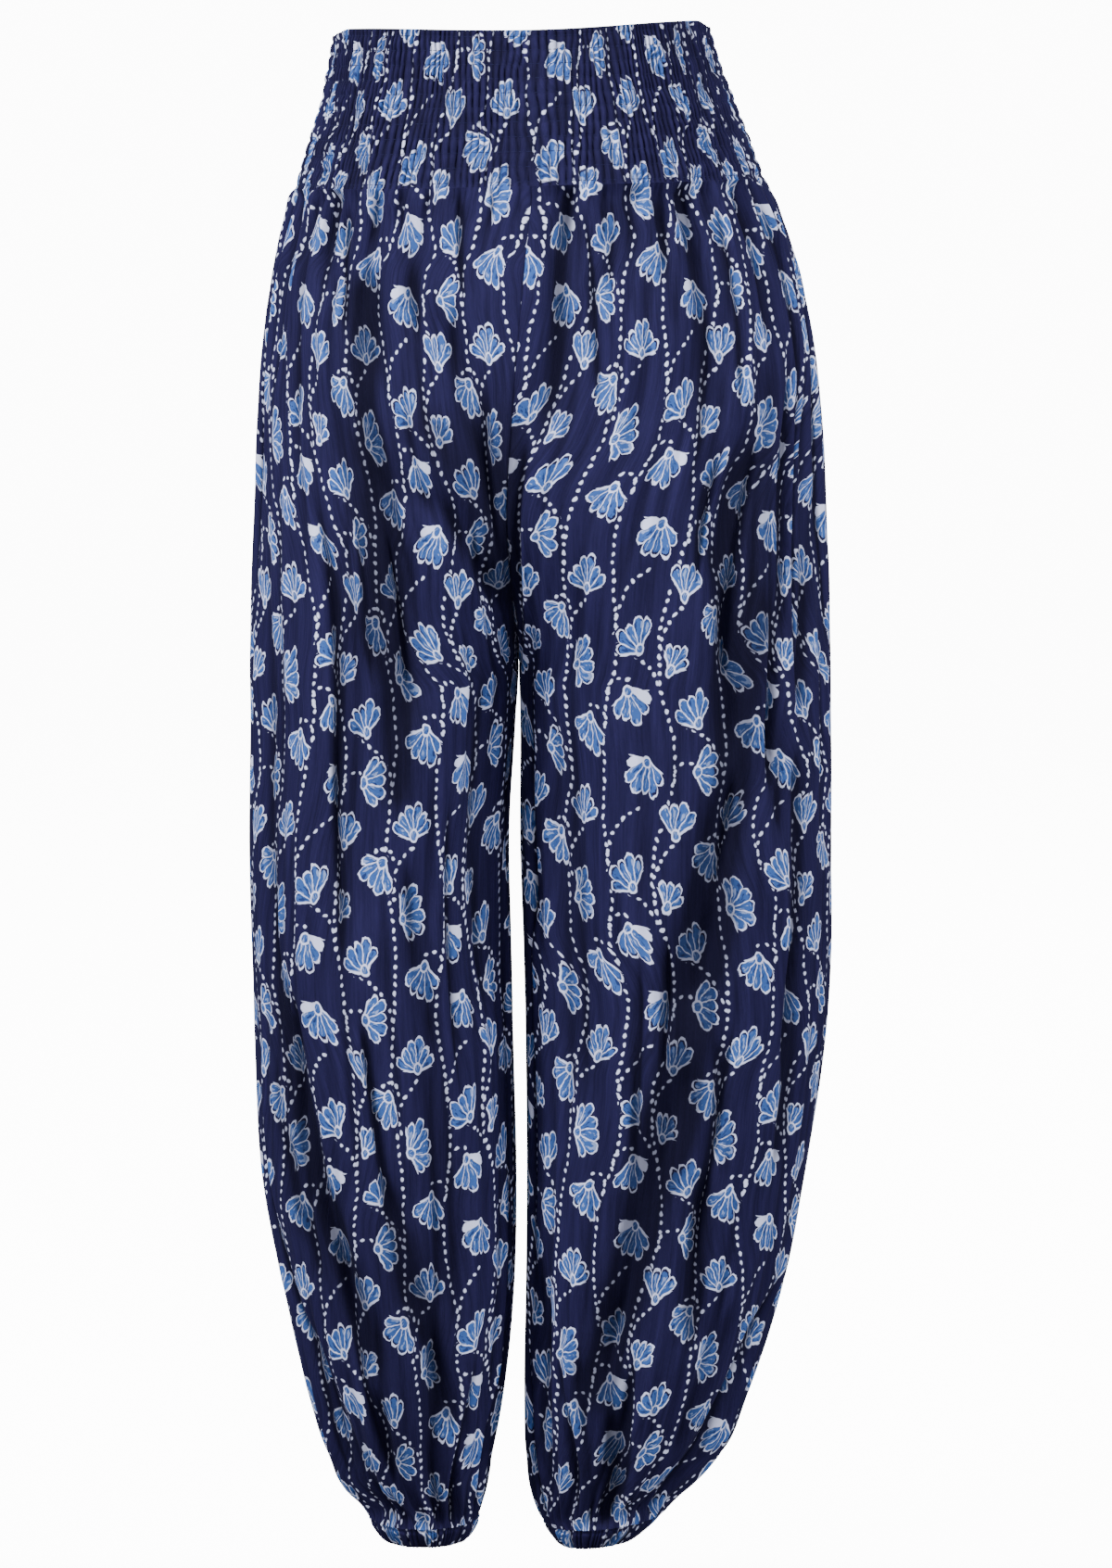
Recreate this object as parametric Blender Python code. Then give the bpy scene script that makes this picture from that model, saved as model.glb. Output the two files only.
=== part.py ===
"""Harem trousers, filled out and hollow, as a maker would cut and sew them.

A shirred waistband, four leg panels and two elastic hem casings. Every piece is a thin wall
with its true curve. The front faces -Y and the wearer's left is at +X. The origin is the
middle of the waist, half way down the waistband.
"""

import bpy
import numpy as np

MM = 0.001

# Driving dimensions, in millimetres
WAIST_TOP = 46.0
WAIST_SEAM = -53.0
FORK = -358.0
HEM_SEAM = -922.0
HEM_BOTTOM = -937.0
CLOTH_WALL = 1.8
BAND_WALL = 1.6
CASING_WALL = 1.6
SEAM_GAP = 0.3
ROUNDNESS = 2.2
WAIST_TILT = 0.024
WAIST_TILT_ENDS = -220.0
WAIST_DIP = 4.0
WAIST_SIDE_DROP = 4.0
HEM_TILT = 0.10
HEM_TILT_STARTS = -860.0
LEFT_HEM_MIDDLE = 52.0

# Gathers
BAND_GATHERS = 80
BAND_ROWS = 8
BAND_RISE = 2.4
CASING_GATHERS = 30
CASING_ROWS = 3
CASING_RISE = 1.5
PANEL_GATHERS = 12
TOP_GATHER_RISE = 6.0
TOP_GATHER_LENGTH = 95.0
HEM_GATHER_RISE = 4.4
HEM_GATHER_LENGTH = 80.0
GATHER_SINK = 0.35
CENTRE_FADE = 16.0
FORK_FADE = 60.0

NAVY = (0.030, 0.031, 0.110, 1.0)
NAVY_BAND = (0.026, 0.027, 0.098, 1.0)
NAVY_CASING = (0.022, 0.023, 0.085, 1.0)
COTTON_ROUGHNESS = 0.78

# Sections from the waist down, in millimetres. right_side and left_side are the two
# outsides, right_inner and left_inner the edges beside the middle, front and back the
# depths from the side seams. Split is 0 where the trousers are one trunk, 1 below the fork.
SECTION_COLUMNS = ("z", "right_side", "right_inner", "left_inner", "left_side", "front", "back", "split")
SECTIONS = (
    (48, -118, 8.0, 8.0, 117, 82, 88, 0.00),
    (10, -124, 8.0, 8.0, 128, 90, 97, 0.00),
    (-25, -134, 8.0, 8.0, 141, 98, 106, 0.00),
    (-53, -143, 7.0, 7.0, 152, 105, 114, 0.00),
    (-95, -155, 3.0, 3.0, 170, 113, 124, 0.03),
    (-148, -164, -2.0, -2.0, 184, 119, 131, 0.12),
    (-200, -167, -6.0, -6.0, 190, 122, 135, 0.28),
    (-255, -170, -9.0, -9.0, 193, 122, 136, 0.60),
    (-305, -173, -6.5, -6.5, 196, 120, 133, 0.88),
    (-335, -174, -4.0, -4.0, 197, 119, 131, 0.97),
    (FORK, -175, -2.5, -2.5, 198, 118, 130, 1.00),
    (-398, -175, -4.3, -1.6, 199, 116, 128, 1.00),
    (-470, -176, -8.5, -1.8, 199, 112, 123, 1.00),
    (-544, -175, -7.3, 0.5, 198, 109, 119, 1.00),
    (-617, -173, -5.6, 1.7, 193, 105, 114, 1.00),
    (-691, -169, -4.0, 2.3, 183, 99, 107, 1.00),
    (-765, -156, -5.2, 1.6, 170, 90, 97, 1.00),
    (-840, -140, -12.5, 0.5, 146, 76, 80, 1.00),
    (-877, -128, -19.3, 1.5, 131, 64, 66, 1.00),
    (-900, -118, -23.0, 4.5, 114, 54, 55, 1.00),
    (-915, -104, -27.2, 10.0, 98, 44, 45, 1.00),
    (-922, -101, -29.5, 14.0, 92, 40, 40, 1.00),
    (-937, -95, -34.0, 19.5, 78, 34, 34, 1.00),
)

# Heights of the panels' rows, close together at the gathers and at the fork
PANEL_ROWS = (
    WAIST_SEAM, -64, -80, -102, -130, -162, -196, -230, -261, -289, -314, -335, -350, FORK,
    -390, -432, -482, -540, -602, -664, -724, -780, -828, -866, -894, -910, HEM_SEAM,
)
PANEL_COLUMNS = 2 * PANEL_GATHERS

# Large folds. Top and bottom are the places of a fold's two ends across its panel, 0 at
# the inner seam and 1 at the side seam. Half width and depth are in millimetres, and a
# minus depth is a valley.
FOLD_COLUMNS = ("panel", "top", "z_top", "bottom", "z_bottom", "half_width", "depth")
FOLDS = (
    ("leg_right_front", 0.63, -20, 0.52, -140, 12, -7),
    ("leg_right_front", 0.41, -40, 0.36, -190, 12, -6),
    ("leg_right_front", 0.84, -20, 0.78, -190, 13, -6),
    ("leg_right_front", 0.20, -110, 0.02, -275, 14, -8),
    ("leg_right_front", 0.33, -225, 0.06, -325, 14, -8),
    ("leg_right_front", 0.40, -200, 0.45, -410, 17, -10),
    ("leg_right_front", 0.56, -230, 0.57, -560, 13, -7),
    ("leg_right_front", 0.23, -320, 0.20, -600, 17, -8),
    ("leg_right_front", 0.78, -300, 0.82, -640, 18, -6),
    ("leg_right_front", 0.40, -560, 0.34, -800, 18, -6),
    ("leg_right_front", 0.84, -760, 0.64, -945, 14, -9),
    ("leg_right_front", 0.41, -770, 0.41, -945, 12, -7),
    ("leg_left_front", 0.04, -20, 0.12, -230, 12, -9),
    ("leg_left_front", 0.24, -25, 0.27, -150, 12, -6),
    ("leg_left_front", 0.41, -20, 0.47, -220, 13, -10),
    ("leg_left_front", 0.64, -20, 0.68, -170, 12, -7),
    ("leg_left_front", 0.59, -180, 0.59, -440, 14, -13),
    ("leg_left_front", 0.74, -150, 0.69, -450, 11, -7),
    ("leg_left_front", 0.82, -160, 0.79, -420, 11, -7),
    ("leg_left_front", 0.62, -400, 0.47, -600, 16, -11),
    ("leg_left_front", 0.24, -360, 0.30, -660, 18, -7),
    ("leg_left_front", 0.88, -750, 0.68, -940, 15, -11),
    ("leg_left_front", 0.36, -740, 0.50, -945, 13, -8),
    ("leg_left_front", 0.13, -720, 0.24, -940, 13, -6),
    ("leg_right_back", 0.08, -20, 0.13, -210, 12, -8),
    ("leg_right_back", 0.36, -20, 0.38, -170, 12, -7),
    ("leg_right_back", 0.60, -20, 0.54, -250, 13, -9),
    ("leg_right_back", 0.84, -30, 0.78, -180, 12, -6),
    ("leg_right_back", 0.38, -220, 0.06, -335, 15, -8),
    ("leg_right_back", 0.68, -290, 0.58, -560, 16, -10),
    ("leg_right_back", 0.28, -430, 0.40, -740, 18, -7),
    ("leg_right_back", 0.84, -560, 0.80, -800, 17, -6),
    ("leg_right_back", 0.84, -770, 0.60, -945, 14, -9),
    ("leg_right_back", 0.32, -790, 0.40, -945, 12, -7),
    ("leg_left_back", 0.14, -20, 0.17, -240, 12, -8),
    ("leg_left_back", 0.42, -20, 0.38, -180, 12, -7),
    ("leg_left_back", 0.66, -20, 0.58, -200, 13, -9),
    ("leg_left_back", 0.86, -30, 0.80, -260, 12, -7),
    ("leg_left_back", 0.40, -210, 0.06, -330, 15, -8),
    ("leg_left_back", 0.56, -270, 0.68, -520, 16, -10),
    ("leg_left_back", 0.34, -460, 0.26, -700, 18, -7),
    ("leg_left_back", 0.78, -520, 0.86, -780, 17, -6),
    ("leg_left_back", 0.86, -750, 0.58, -945, 14, -10),
    ("leg_left_back", 0.26, -780, 0.42, -945, 12, -7),
)


def clear_scene():
    """Remove everything that the file opened with."""
    for old in list(bpy.data.objects):
        bpy.data.objects.remove(old, do_unlink=True)


def cotton(name, colour):
    """Printed cotton, seen from afar as its ground colour."""
    material = bpy.data.materials.new(name)
    material.use_nodes = True
    shader = material.node_tree.nodes["Principled BSDF"]
    shader.inputs["Base Color"].default_value = colour
    shader.inputs["Roughness"].default_value = COTTON_ROUGHNESS
    shader.inputs["Metallic"].default_value = 0.0
    return material


def section(name, z):
    """One column of the sections at heights z, on a smooth curve through its rows."""
    place = SECTION_COLUMNS.index(name)
    heights = np.array([row[0] for row in SECTIONS[::-1]], float)
    values = np.array([row[place] for row in SECTIONS[::-1]], float)
    slopes = np.gradient(values, heights)
    z = np.asarray(z, float)
    i = np.clip(np.searchsorted(heights, z) - 1, 0, len(heights) - 2)
    span = heights[i + 1] - heights[i]
    f = (z - heights[i]) / span
    start = (1 + 2 * f) * (1 - f) ** 2 * values[i] + f * (1 - f) ** 2 * span * slopes[i]
    end = f * f * (3 - 2 * f) * values[i + 1] - f * f * (1 - f) * span * slopes[i + 1]
    return start + end


def ease(f):
    """0 to 1 with a soft start and end."""
    f = np.clip(f, 0.0, 1.0)
    return f * f * (3 - 2 * f)


def rounded(value, power=2 / ROUNDNESS):
    """A cosine or sine bent to the section's roundness, with its sign kept."""
    return np.sign(value) * np.abs(value) ** power


def lift(side, x, z):
    """The waist's slight tilt, gone at the hips, and the left hem's, gone above the ankle."""
    waist_share = ease((z - WAIST_TILT_ENDS) / (WAIST_SEAM - WAIST_TILT_ENDS))
    hem_share = ease((z - HEM_TILT_STARTS) / (HEM_SEAM - HEM_TILT_STARTS)) * (side > 0)
    return WAIST_TILT * x * waist_share + HEM_TILT * (x - LEFT_HEM_MIDDLE) * hem_share


def leg_frame(side, z):
    """Centre, half width and half turn of one leg's sections at heights z, and its split."""
    names = ("left_side", "left_inner") if side > 0 else ("right_side", "right_inner")
    outer = section(names[0], z)
    inner = section(names[1], z)
    split = np.clip(section("split", z), 0.0, 1.0)
    half_width = np.abs(outer - inner) * (1 - 0.5 * split)
    centre = outer - side * half_width
    cut = np.clip(0.5 * split / (1 - 0.5 * split), 0.0, 1.0) ** (ROUNDNESS / 2)
    half_turn = np.arccos(-cut)
    return centre, half_width, half_turn, split


def leg_surface(side, z, t):
    """Points of one leg's smooth form. t is -1 at the front inner seam, 0 at the side seam
    and 1 at the back inner seam. The columns run straight down past the fork, and only
    those near the inner seams close up above it."""
    centre, half_width, half_turn, split = leg_frame(side, z)
    even_turn = np.pi / 2 * (1 + split)
    angle = even_turn * t + (half_turn - even_turn) * t ** 3
    depth = np.where(t < 0, section("front", z), section("back", z))
    x = centre + side * half_width * rounded(np.cos(angle))
    y = depth * rounded(np.sin(angle))
    return np.stack([x, y, z + lift(side, x, z)], axis=-1)


def panel_width(side, z, t):
    """Rough width of the panel that t lies on, round the leg."""
    _, half_width, half_turn, _ = leg_frame(side, z)
    depth = np.where(t < 0, section("front", z), section("back", z))
    return half_turn * (half_width + depth) / 2


def fold_moves(leg, side, z, t):
    """How far the large folds move the cloth out, or in where it is minus."""
    width = panel_width(side, z, t)
    moves = np.zeros_like(width)
    for row in FOLDS:
        fold = dict(zip(FOLD_COLUMNS, row))
        if not fold["panel"].startswith(leg):
            continue
        way = -1 if fold["panel"].endswith("front") else 1
        down = (z - fold["z_top"]) / (fold["z_bottom"] - fold["z_top"])
        across = fold["top"] + (fold["bottom"] - fold["top"]) * down
        away = (t - way * (1 - across)) * width
        length = ease(4 * down) * ease(4 * (1 - down))
        moves += fold["depth"] * length * np.exp(-((away / fold["half_width"]) ** 2))
    return moves


def gather_moves(side, z, column):
    """Gathers under the waistband and over the hem: every other column stands out, each by
    its own height and length, and the columns between sink a little."""
    crest = np.abs(column) % 2
    height = np.where(crest > 0, 0.74 + 0.26 * np.sin(2.4 * column + 1.3 * side), 1.0)
    reach = np.where(crest > 0, 0.80 + 0.35 * np.sin(1.7 * column - 0.6 * side), 0.85)
    below_waist = ease(1 - (WAIST_SEAM - z) / (TOP_GATHER_LENGTH * reach))
    above_hem = ease(1 - (z - HEM_SEAM) / (HEM_GATHER_LENGTH * reach))
    rise = TOP_GATHER_RISE * below_waist + HEM_GATHER_RISE * above_hem
    return (crest - GATHER_SINK) * height * rise


def outward(grid, joined):
    """Unit normals of a grid of points. joined marks the rows whose two ends meet."""
    along = np.gradient(grid, axis=0)
    round_it = np.gradient(grid, axis=1)
    ends = (grid[:, 1] - grid[:, -2]) / 2
    round_it[joined, 0] = ends[joined]
    round_it[joined, -1] = ends[joined]
    normal = np.cross(along, round_it)
    return normal / np.linalg.norm(normal, axis=-1, keepdims=True)


def level_edge(points, row, side, height):
    """Put one row of points on its seam's plane."""
    points[row, :, 2] = height + lift(side, points[row, :, 0], height)


def build_leg(leg, side):
    """Outer and inner points of a whole leg, from the front inner seam round to the back."""
    column = np.arange(-PANEL_COLUMNS, PANEL_COLUMNS + 1)
    rows = np.array(PANEL_ROWS, float)
    rows[0] -= SEAM_GAP / 2
    rows[-1] += SEAM_GAP / 2
    z, t = np.meshgrid(rows, column / PANEL_COLUMNS, indexing="ij")
    smooth_form = leg_surface(side, z, t)
    forked = rows <= FORK
    normal = side * outward(smooth_form, forked)
    to_centre = ease((1 - np.abs(t)) * panel_width(side, z, t) / CENTRE_FADE)
    kept = to_centre + (1 - to_centre) * ease((FORK - z) / FORK_FADE)
    moves = (fold_moves(leg, side, z, t) + gather_moves(side, z, column)) * kept
    outer = smooth_form + normal * moves[..., None]
    inner = outer - side * outward(outer, forked) * CLOTH_WALL
    middle = (section("right_inner", z) + section("left_inner", z)) / 2
    limit = middle + side * SEAM_GAP / 2
    for points in (outer, inner):
        points[..., 0] = side * np.maximum(side * points[..., 0], side * limit)
        level_edge(points, 0, side, rows[0])
        level_edge(points, -1, side, rows[-1])
    return outer, inner, forked


def build_panels(leg, side):
    """The front and the back of a leg, cut apart at its side seam and its inseam."""
    outer, inner, forked = build_leg(leg, side)
    half = SEAM_GAP / 2
    for part, first, last, way in (
        ("front", 0, PANEL_COLUMNS + 1, -1),
        ("back", PANEL_COLUMNS, 2 * PANEL_COLUMNS + 1, 1),
    ):
        skins = []
        for points in (outer, inner):
            skin = points[:, first:last].copy()
            seam = -1 if way < 0 else 0
            inseam = 0 if way < 0 else -1
            skin[:, seam, 1] = skin[:, seam, 1] + way * half
            skin[forked, inseam, 1] = way * half
            skins.append(skin)
        name = f"{leg}_{part}"
        make_wall(name, skins[0], skins[1], False, side, cotton(f"{name}_cotton", NAVY))


def uneven_gathers(columns, rows, rise):
    """Heights of a ring of gathers: crests on every other column, each a little different
    and wandering a little from row to row."""
    row, column = np.meshgrid(np.arange(rows + 1), np.arange(columns), indexing="ij")
    crest = column % 2
    height = 0.66 + 0.22 * np.sin(2.6 * column) + 0.12 * np.sin(1.9 * row + 4.1 * column)
    return rise * crest * height


def ring_points(side_right, side_left, centre, front, back, z, columns):
    """A closed ring of points round each section, anticlockwise seen from above."""
    turn = 2 * np.pi * np.arange(columns) / columns
    turn = turn[None, :]
    half = np.where(np.cos(turn) > 0, side_left - centre, centre - side_right)
    depth = np.where(np.sin(turn) > 0, back, front)
    x = centre + half * rounded(np.cos(turn))
    y = depth * rounded(np.sin(turn))
    return np.stack([x, y, z + 0 * x], axis=-1)


def ring_normals(grid):
    """Unit normals of a closed ring grid, pointing out."""
    along = np.gradient(grid, axis=0)
    round_it = np.roll(grid, -1, axis=1) - np.roll(grid, 1, axis=1)
    normal = np.cross(round_it, -along)
    return normal / np.linalg.norm(normal, axis=-1, keepdims=True)


def gathered_ring(grid, rise, wall):
    """Outer points raised in gathers over a plain inside of three rows."""
    normal = ring_normals(grid)
    rows, columns = grid.shape[:2]
    outer = grid + normal * uneven_gathers(columns, rows - 1, rise)[..., None]
    inner = (grid - normal * wall)[[0, rows // 2, rows - 1]]
    return outer, inner


def build_waistband():
    """One shirred ring, dipping a little at the middle front and back."""
    z = np.linspace(WAIST_TOP, WAIST_SEAM + SEAM_GAP / 2, BAND_ROWS + 1)[:, None]
    centre = section("right_inner", z)
    grid = ring_points(
        section("right_side", z), section("left_side", z), centre,
        section("front", z), section("back", z), z, 2 * BAND_GATHERS,
    )
    height = (z - WAIST_SEAM) / (WAIST_TOP - WAIST_SEAM)
    off_middle = np.abs(np.cos(2 * np.pi * np.arange(2 * BAND_GATHERS) / (2 * BAND_GATHERS)))
    dip = WAIST_DIP * ease(1 - off_middle) + WAIST_SIDE_DROP * ease(10 * off_middle - 9)
    grid[..., 2] += lift(0, grid[..., 0], z) - dip * height ** 3
    outer, inner = gathered_ring(grid, BAND_RISE, BAND_WALL)
    for points in (outer, inner):
        level_edge(points, -1, 0, z[-1])
    make_wall("waistband", outer, inner, True, 1, cotton("waistband_cotton", NAVY_BAND))


def build_casing(name, side):
    """The narrow elastic casing at one ankle, drawn in towards its lower edge."""
    z = np.linspace(HEM_SEAM - SEAM_GAP / 2, HEM_BOTTOM, CASING_ROWS + 1)[:, None]
    centre, half_width, _, _ = leg_frame(side, z)
    grid = ring_points(
        centre - half_width, centre + half_width, centre,
        section("front", z), section("back", z), z, 2 * CASING_GATHERS,
    )
    grid[..., 2] += lift(side, grid[..., 0], z)
    outer, inner = gathered_ring(grid, CASING_RISE, CASING_WALL)
    for points in (outer, inner):
        level_edge(points, 0, side, z[0])
    make_wall(name, outer, inner, True, 1, cotton(f"{name}_cotton", NAVY_CASING))


def grid_faces(rows, columns, first, closed, flipped):
    """Quads of a grid whose points start at index first."""
    faces = []
    for r in range(rows - 1):
        for c in range(columns if closed else columns - 1):
            d = (c + 1) % columns
            quad = (first + r * columns + c, first + (r + 1) * columns + c,
                    first + (r + 1) * columns + d, first + r * columns + d)
            faces.append(quad[::-1] if flipped else quad)
    return faces


def rim_faces(outside, inside, flipped):
    """Quads between two loops of points, one on each skin."""
    faces = []
    for a, b, p, q in zip(outside, outside[1:], inside, inside[1:]):
        quad = (a, b, q, p)
        faces.append(quad[::-1] if flipped else quad)
    return faces


def boundary(rows, columns, first, closed):
    """The loops of points round a grid's open edges."""
    grid = first + np.arange(rows * columns).reshape(rows, columns)
    if closed:
        top = list(grid[0]) + [grid[0, 0]]
        bottom = list(grid[-1][::-1]) + [grid[-1, -1]]
        return [top, bottom]
    loop = list(grid[0]) + list(grid[1:, -1]) + list(grid[-1, -2::-1]) + list(grid[-2::-1, 0])
    return [loop]


def make_wall(name, outer, inner, closed, side, material):
    """One closed wall from its outer and inner skins, joined round every edge."""
    flipped = side < 0
    outer_rows, columns = outer.shape[:2]
    inner_rows = inner.shape[0]
    first_inner = outer_rows * columns
    faces = grid_faces(outer_rows, columns, 0, closed, flipped)
    faces += grid_faces(inner_rows, columns, first_inner, closed, not flipped)
    outside = boundary(outer_rows, columns, 0, closed)
    inside = boundary(inner_rows, columns, first_inner, closed)
    for a, b in zip(outside, inside):
        faces += rim_faces([int(i) for i in a], [int(i) for i in b], flipped)
    points = np.concatenate([outer.reshape(-1, 3), inner.reshape(-1, 3)]) * MM
    mesh = bpy.data.meshes.new(name)
    mesh.from_pydata(points.tolist(), [], faces)
    mesh.validate()
    mesh.materials.append(material)
    mesh.shade_smooth()
    mesh.set_sharp_from_angle(angle=np.radians(50))
    piece = bpy.data.objects.new(name, mesh)
    bpy.context.scene.collection.objects.link(piece)
    return piece


clear_scene()
build_waistband()
for leg, side in (("leg_right", -1), ("leg_left", 1)):
    build_panels(leg, side)
    build_casing(leg.replace("leg", "hem_casing"), side)
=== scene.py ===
# %% [markdown]
# # Harem trousers in printed cotton
# The real object is a pair of long, full trousers in thin navy cotton. A wide waistband is
# drawn up by rows of elastic thread, and each leg ends in a narrow elastic casing. The
# trousers stand filled out with nobody in them. The CAD frame holds the solid form, and this
# script dresses it: every piece of cloth is made again as a thin shell with finer gathers
# and creases, and with the print worked out in its material.

import bpy
import numpy as np
from math import pi, radians
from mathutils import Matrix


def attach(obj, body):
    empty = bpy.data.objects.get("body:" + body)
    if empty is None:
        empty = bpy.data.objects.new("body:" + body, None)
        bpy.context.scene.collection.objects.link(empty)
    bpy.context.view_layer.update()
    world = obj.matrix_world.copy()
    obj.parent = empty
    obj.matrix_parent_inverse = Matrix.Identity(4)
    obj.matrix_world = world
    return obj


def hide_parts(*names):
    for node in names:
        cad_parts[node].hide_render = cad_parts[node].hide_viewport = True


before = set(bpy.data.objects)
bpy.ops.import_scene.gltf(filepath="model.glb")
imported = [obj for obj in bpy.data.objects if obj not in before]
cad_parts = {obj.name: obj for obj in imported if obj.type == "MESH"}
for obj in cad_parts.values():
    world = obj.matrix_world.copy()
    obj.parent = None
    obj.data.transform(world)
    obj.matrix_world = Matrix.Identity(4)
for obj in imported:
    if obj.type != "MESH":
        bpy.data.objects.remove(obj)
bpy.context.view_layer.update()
print("CAD nodes:", sorted(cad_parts))

# %% [markdown]
# ## The trousers' main form
# The shells must lie on the CAD solids, so they start from the same sections: at each height
# the outsides, the edges beside the middle and the depths, in millimetres. A smooth curve
# through the rows gives every height between them. Sculpting or a cloth simulation could
# make the form too, but a table keeps it exact and easy to change. Right and left are the
# wearer's, and the right leg lies towards minus x.

# %% Sections
WAIST_TOP, WAIST_SEAM, FORK, HEM_SEAM, HEM_BOTTOM = 46.0, -53.0, -358.0, -922.0, -937.0
ROUNDNESS = 2.2
CLOTH = 0.6
SECTION_COLUMNS = (
    "z", "right_side", "right_inner", "left_inner", "left_side", "front", "back", "split",
)
SECTIONS = (
    (48, -118, 8.0, 8.0, 117, 82, 88, 0.00),
    (10, -124, 8.0, 8.0, 128, 90, 97, 0.00),
    (-25, -134, 8.0, 8.0, 141, 98, 106, 0.00),
    (-53, -143, 7.0, 7.0, 152, 105, 114, 0.00),
    (-95, -155, 3.0, 3.0, 170, 113, 124, 0.03),
    (-148, -164, -2.0, -2.0, 184, 119, 131, 0.12),
    (-200, -167, -6.0, -6.0, 190, 122, 135, 0.28),
    (-255, -170, -9.0, -9.0, 193, 122, 136, 0.60),
    (-305, -173, -6.5, -6.5, 196, 120, 133, 0.88),
    (-335, -174, -4.0, -4.0, 197, 119, 131, 0.97),
    (-358, -175, -2.5, -2.5, 198, 118, 130, 1.00),
    (-398, -175, -4.3, -1.6, 199, 116, 128, 1.00),
    (-470, -176, -8.5, -1.8, 199, 112, 123, 1.00),
    (-544, -175, -7.3, 0.5, 198, 109, 119, 1.00),
    (-617, -173, -5.6, 1.7, 193, 105, 114, 1.00),
    (-691, -169, -4.0, 2.3, 183, 99, 107, 1.00),
    (-765, -156, -5.2, 1.6, 170, 90, 97, 1.00),
    (-840, -140, -12.5, 0.5, 146, 76, 80, 1.00),
    (-877, -128, -19.3, 1.5, 131, 64, 66, 1.00),
    (-900, -118, -23.0, 4.5, 114, 54, 55, 1.00),
    (-915, -104, -27.2, 10.0, 98, 44, 45, 1.00),
    (-922, -101, -29.5, 14.0, 92, 40, 40, 1.00),
    (-937, -95, -34.0, 19.5, 78, 34, 34, 1.00),
)


def smooth_curve(heights, values, z):
    """A value at heights z on a smooth curve through a table's rows: a cubic in each gap
    that meets its neighbours with the same slope."""
    slopes = np.gradient(values, heights)
    i = np.clip(np.searchsorted(heights, z) - 1, 0, len(heights) - 2)
    span = heights[i + 1] - heights[i]
    f = (z - heights[i]) / span
    start = (1 + 2 * f) * (1 - f) ** 2 * values[i] + f * (1 - f) ** 2 * span * slopes[i]
    end = f * f * (3 - 2 * f) * values[i + 1] - f * f * (1 - f) * span * slopes[i + 1]
    return start + end


def section(name, z):
    """One column of the sections at heights z."""
    rows = np.array(SECTIONS[::-1], float)
    return smooth_curve(rows[:, 0], rows[:, SECTION_COLUMNS.index(name)], np.asarray(z, float))


def ease(f):
    """0 to 1 with a soft start and end: 3 f squared less 2 f cubed."""
    f = np.clip(f, 0.0, 1.0)
    return f * f * (3 - 2 * f)


def rounded(value):
    """A cosine or sine bent to the section's roundness, with its sign kept."""
    return np.sign(value) * np.abs(value) ** (2 / ROUNDNESS)


def lift(side, x, z):
    """The waist's slight tilt, gone at the hips, and the left hem's, gone above the ankle."""
    waist_share = ease((z + 220) / 167)
    hem_share = ease((z + 860) / -62) * (side > 0)
    return 0.024 * x * waist_share + 0.10 * (x - 52) * hem_share


def leg_frame(side, z):
    """Centre, half width, half turn and split of one leg's sections at heights z. Above the
    fork a section is half of one body, and split says how far it has closed to a leg."""
    names = ("left_side", "left_inner") if side > 0 else ("right_side", "right_inner")
    outer, inner = section(names[0], z), section(names[1], z)
    split = np.clip(section("split", z), 0.0, 1.0)
    half_width = np.abs(outer - inner) * (1 - 0.5 * split)
    cut = np.clip(0.5 * split / (1 - 0.5 * split), 0.0, 1.0) ** (ROUNDNESS / 2)
    return outer - side * half_width, half_width, np.arccos(-cut), split


def leg_surface(side, z, t):
    """Points of one leg's smooth form. t is -1 at the front inner seam, 0 at the side seam
    and 1 at the back inner seam. x and y follow a rounded ellipse of the section's size."""
    centre, half_width, half_turn, split = leg_frame(side, z)
    even_turn = pi / 2 * (1 + split)
    angle = even_turn * t + (half_turn - even_turn) * t**3
    depth = np.where(t < 0, section("front", z), section("back", z))
    x = centre + side * half_width * rounded(np.cos(angle))
    y = depth * rounded(np.sin(angle))
    return np.stack([x, y, z + lift(side, x, z)], axis=-1)


print("size in mm at the hips:", section("left_side", -200) - section("right_side", -200))

# %% [markdown]
# ## Large folds
# Thin cotton hangs in long soft troughs from the gathers, in drag lines towards the fork
# and in a few deep folds outside the knees. These are the frame's own rows, so the shells
# and the solids fold in the same places. Each is a soft trough along a slanting line.

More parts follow.
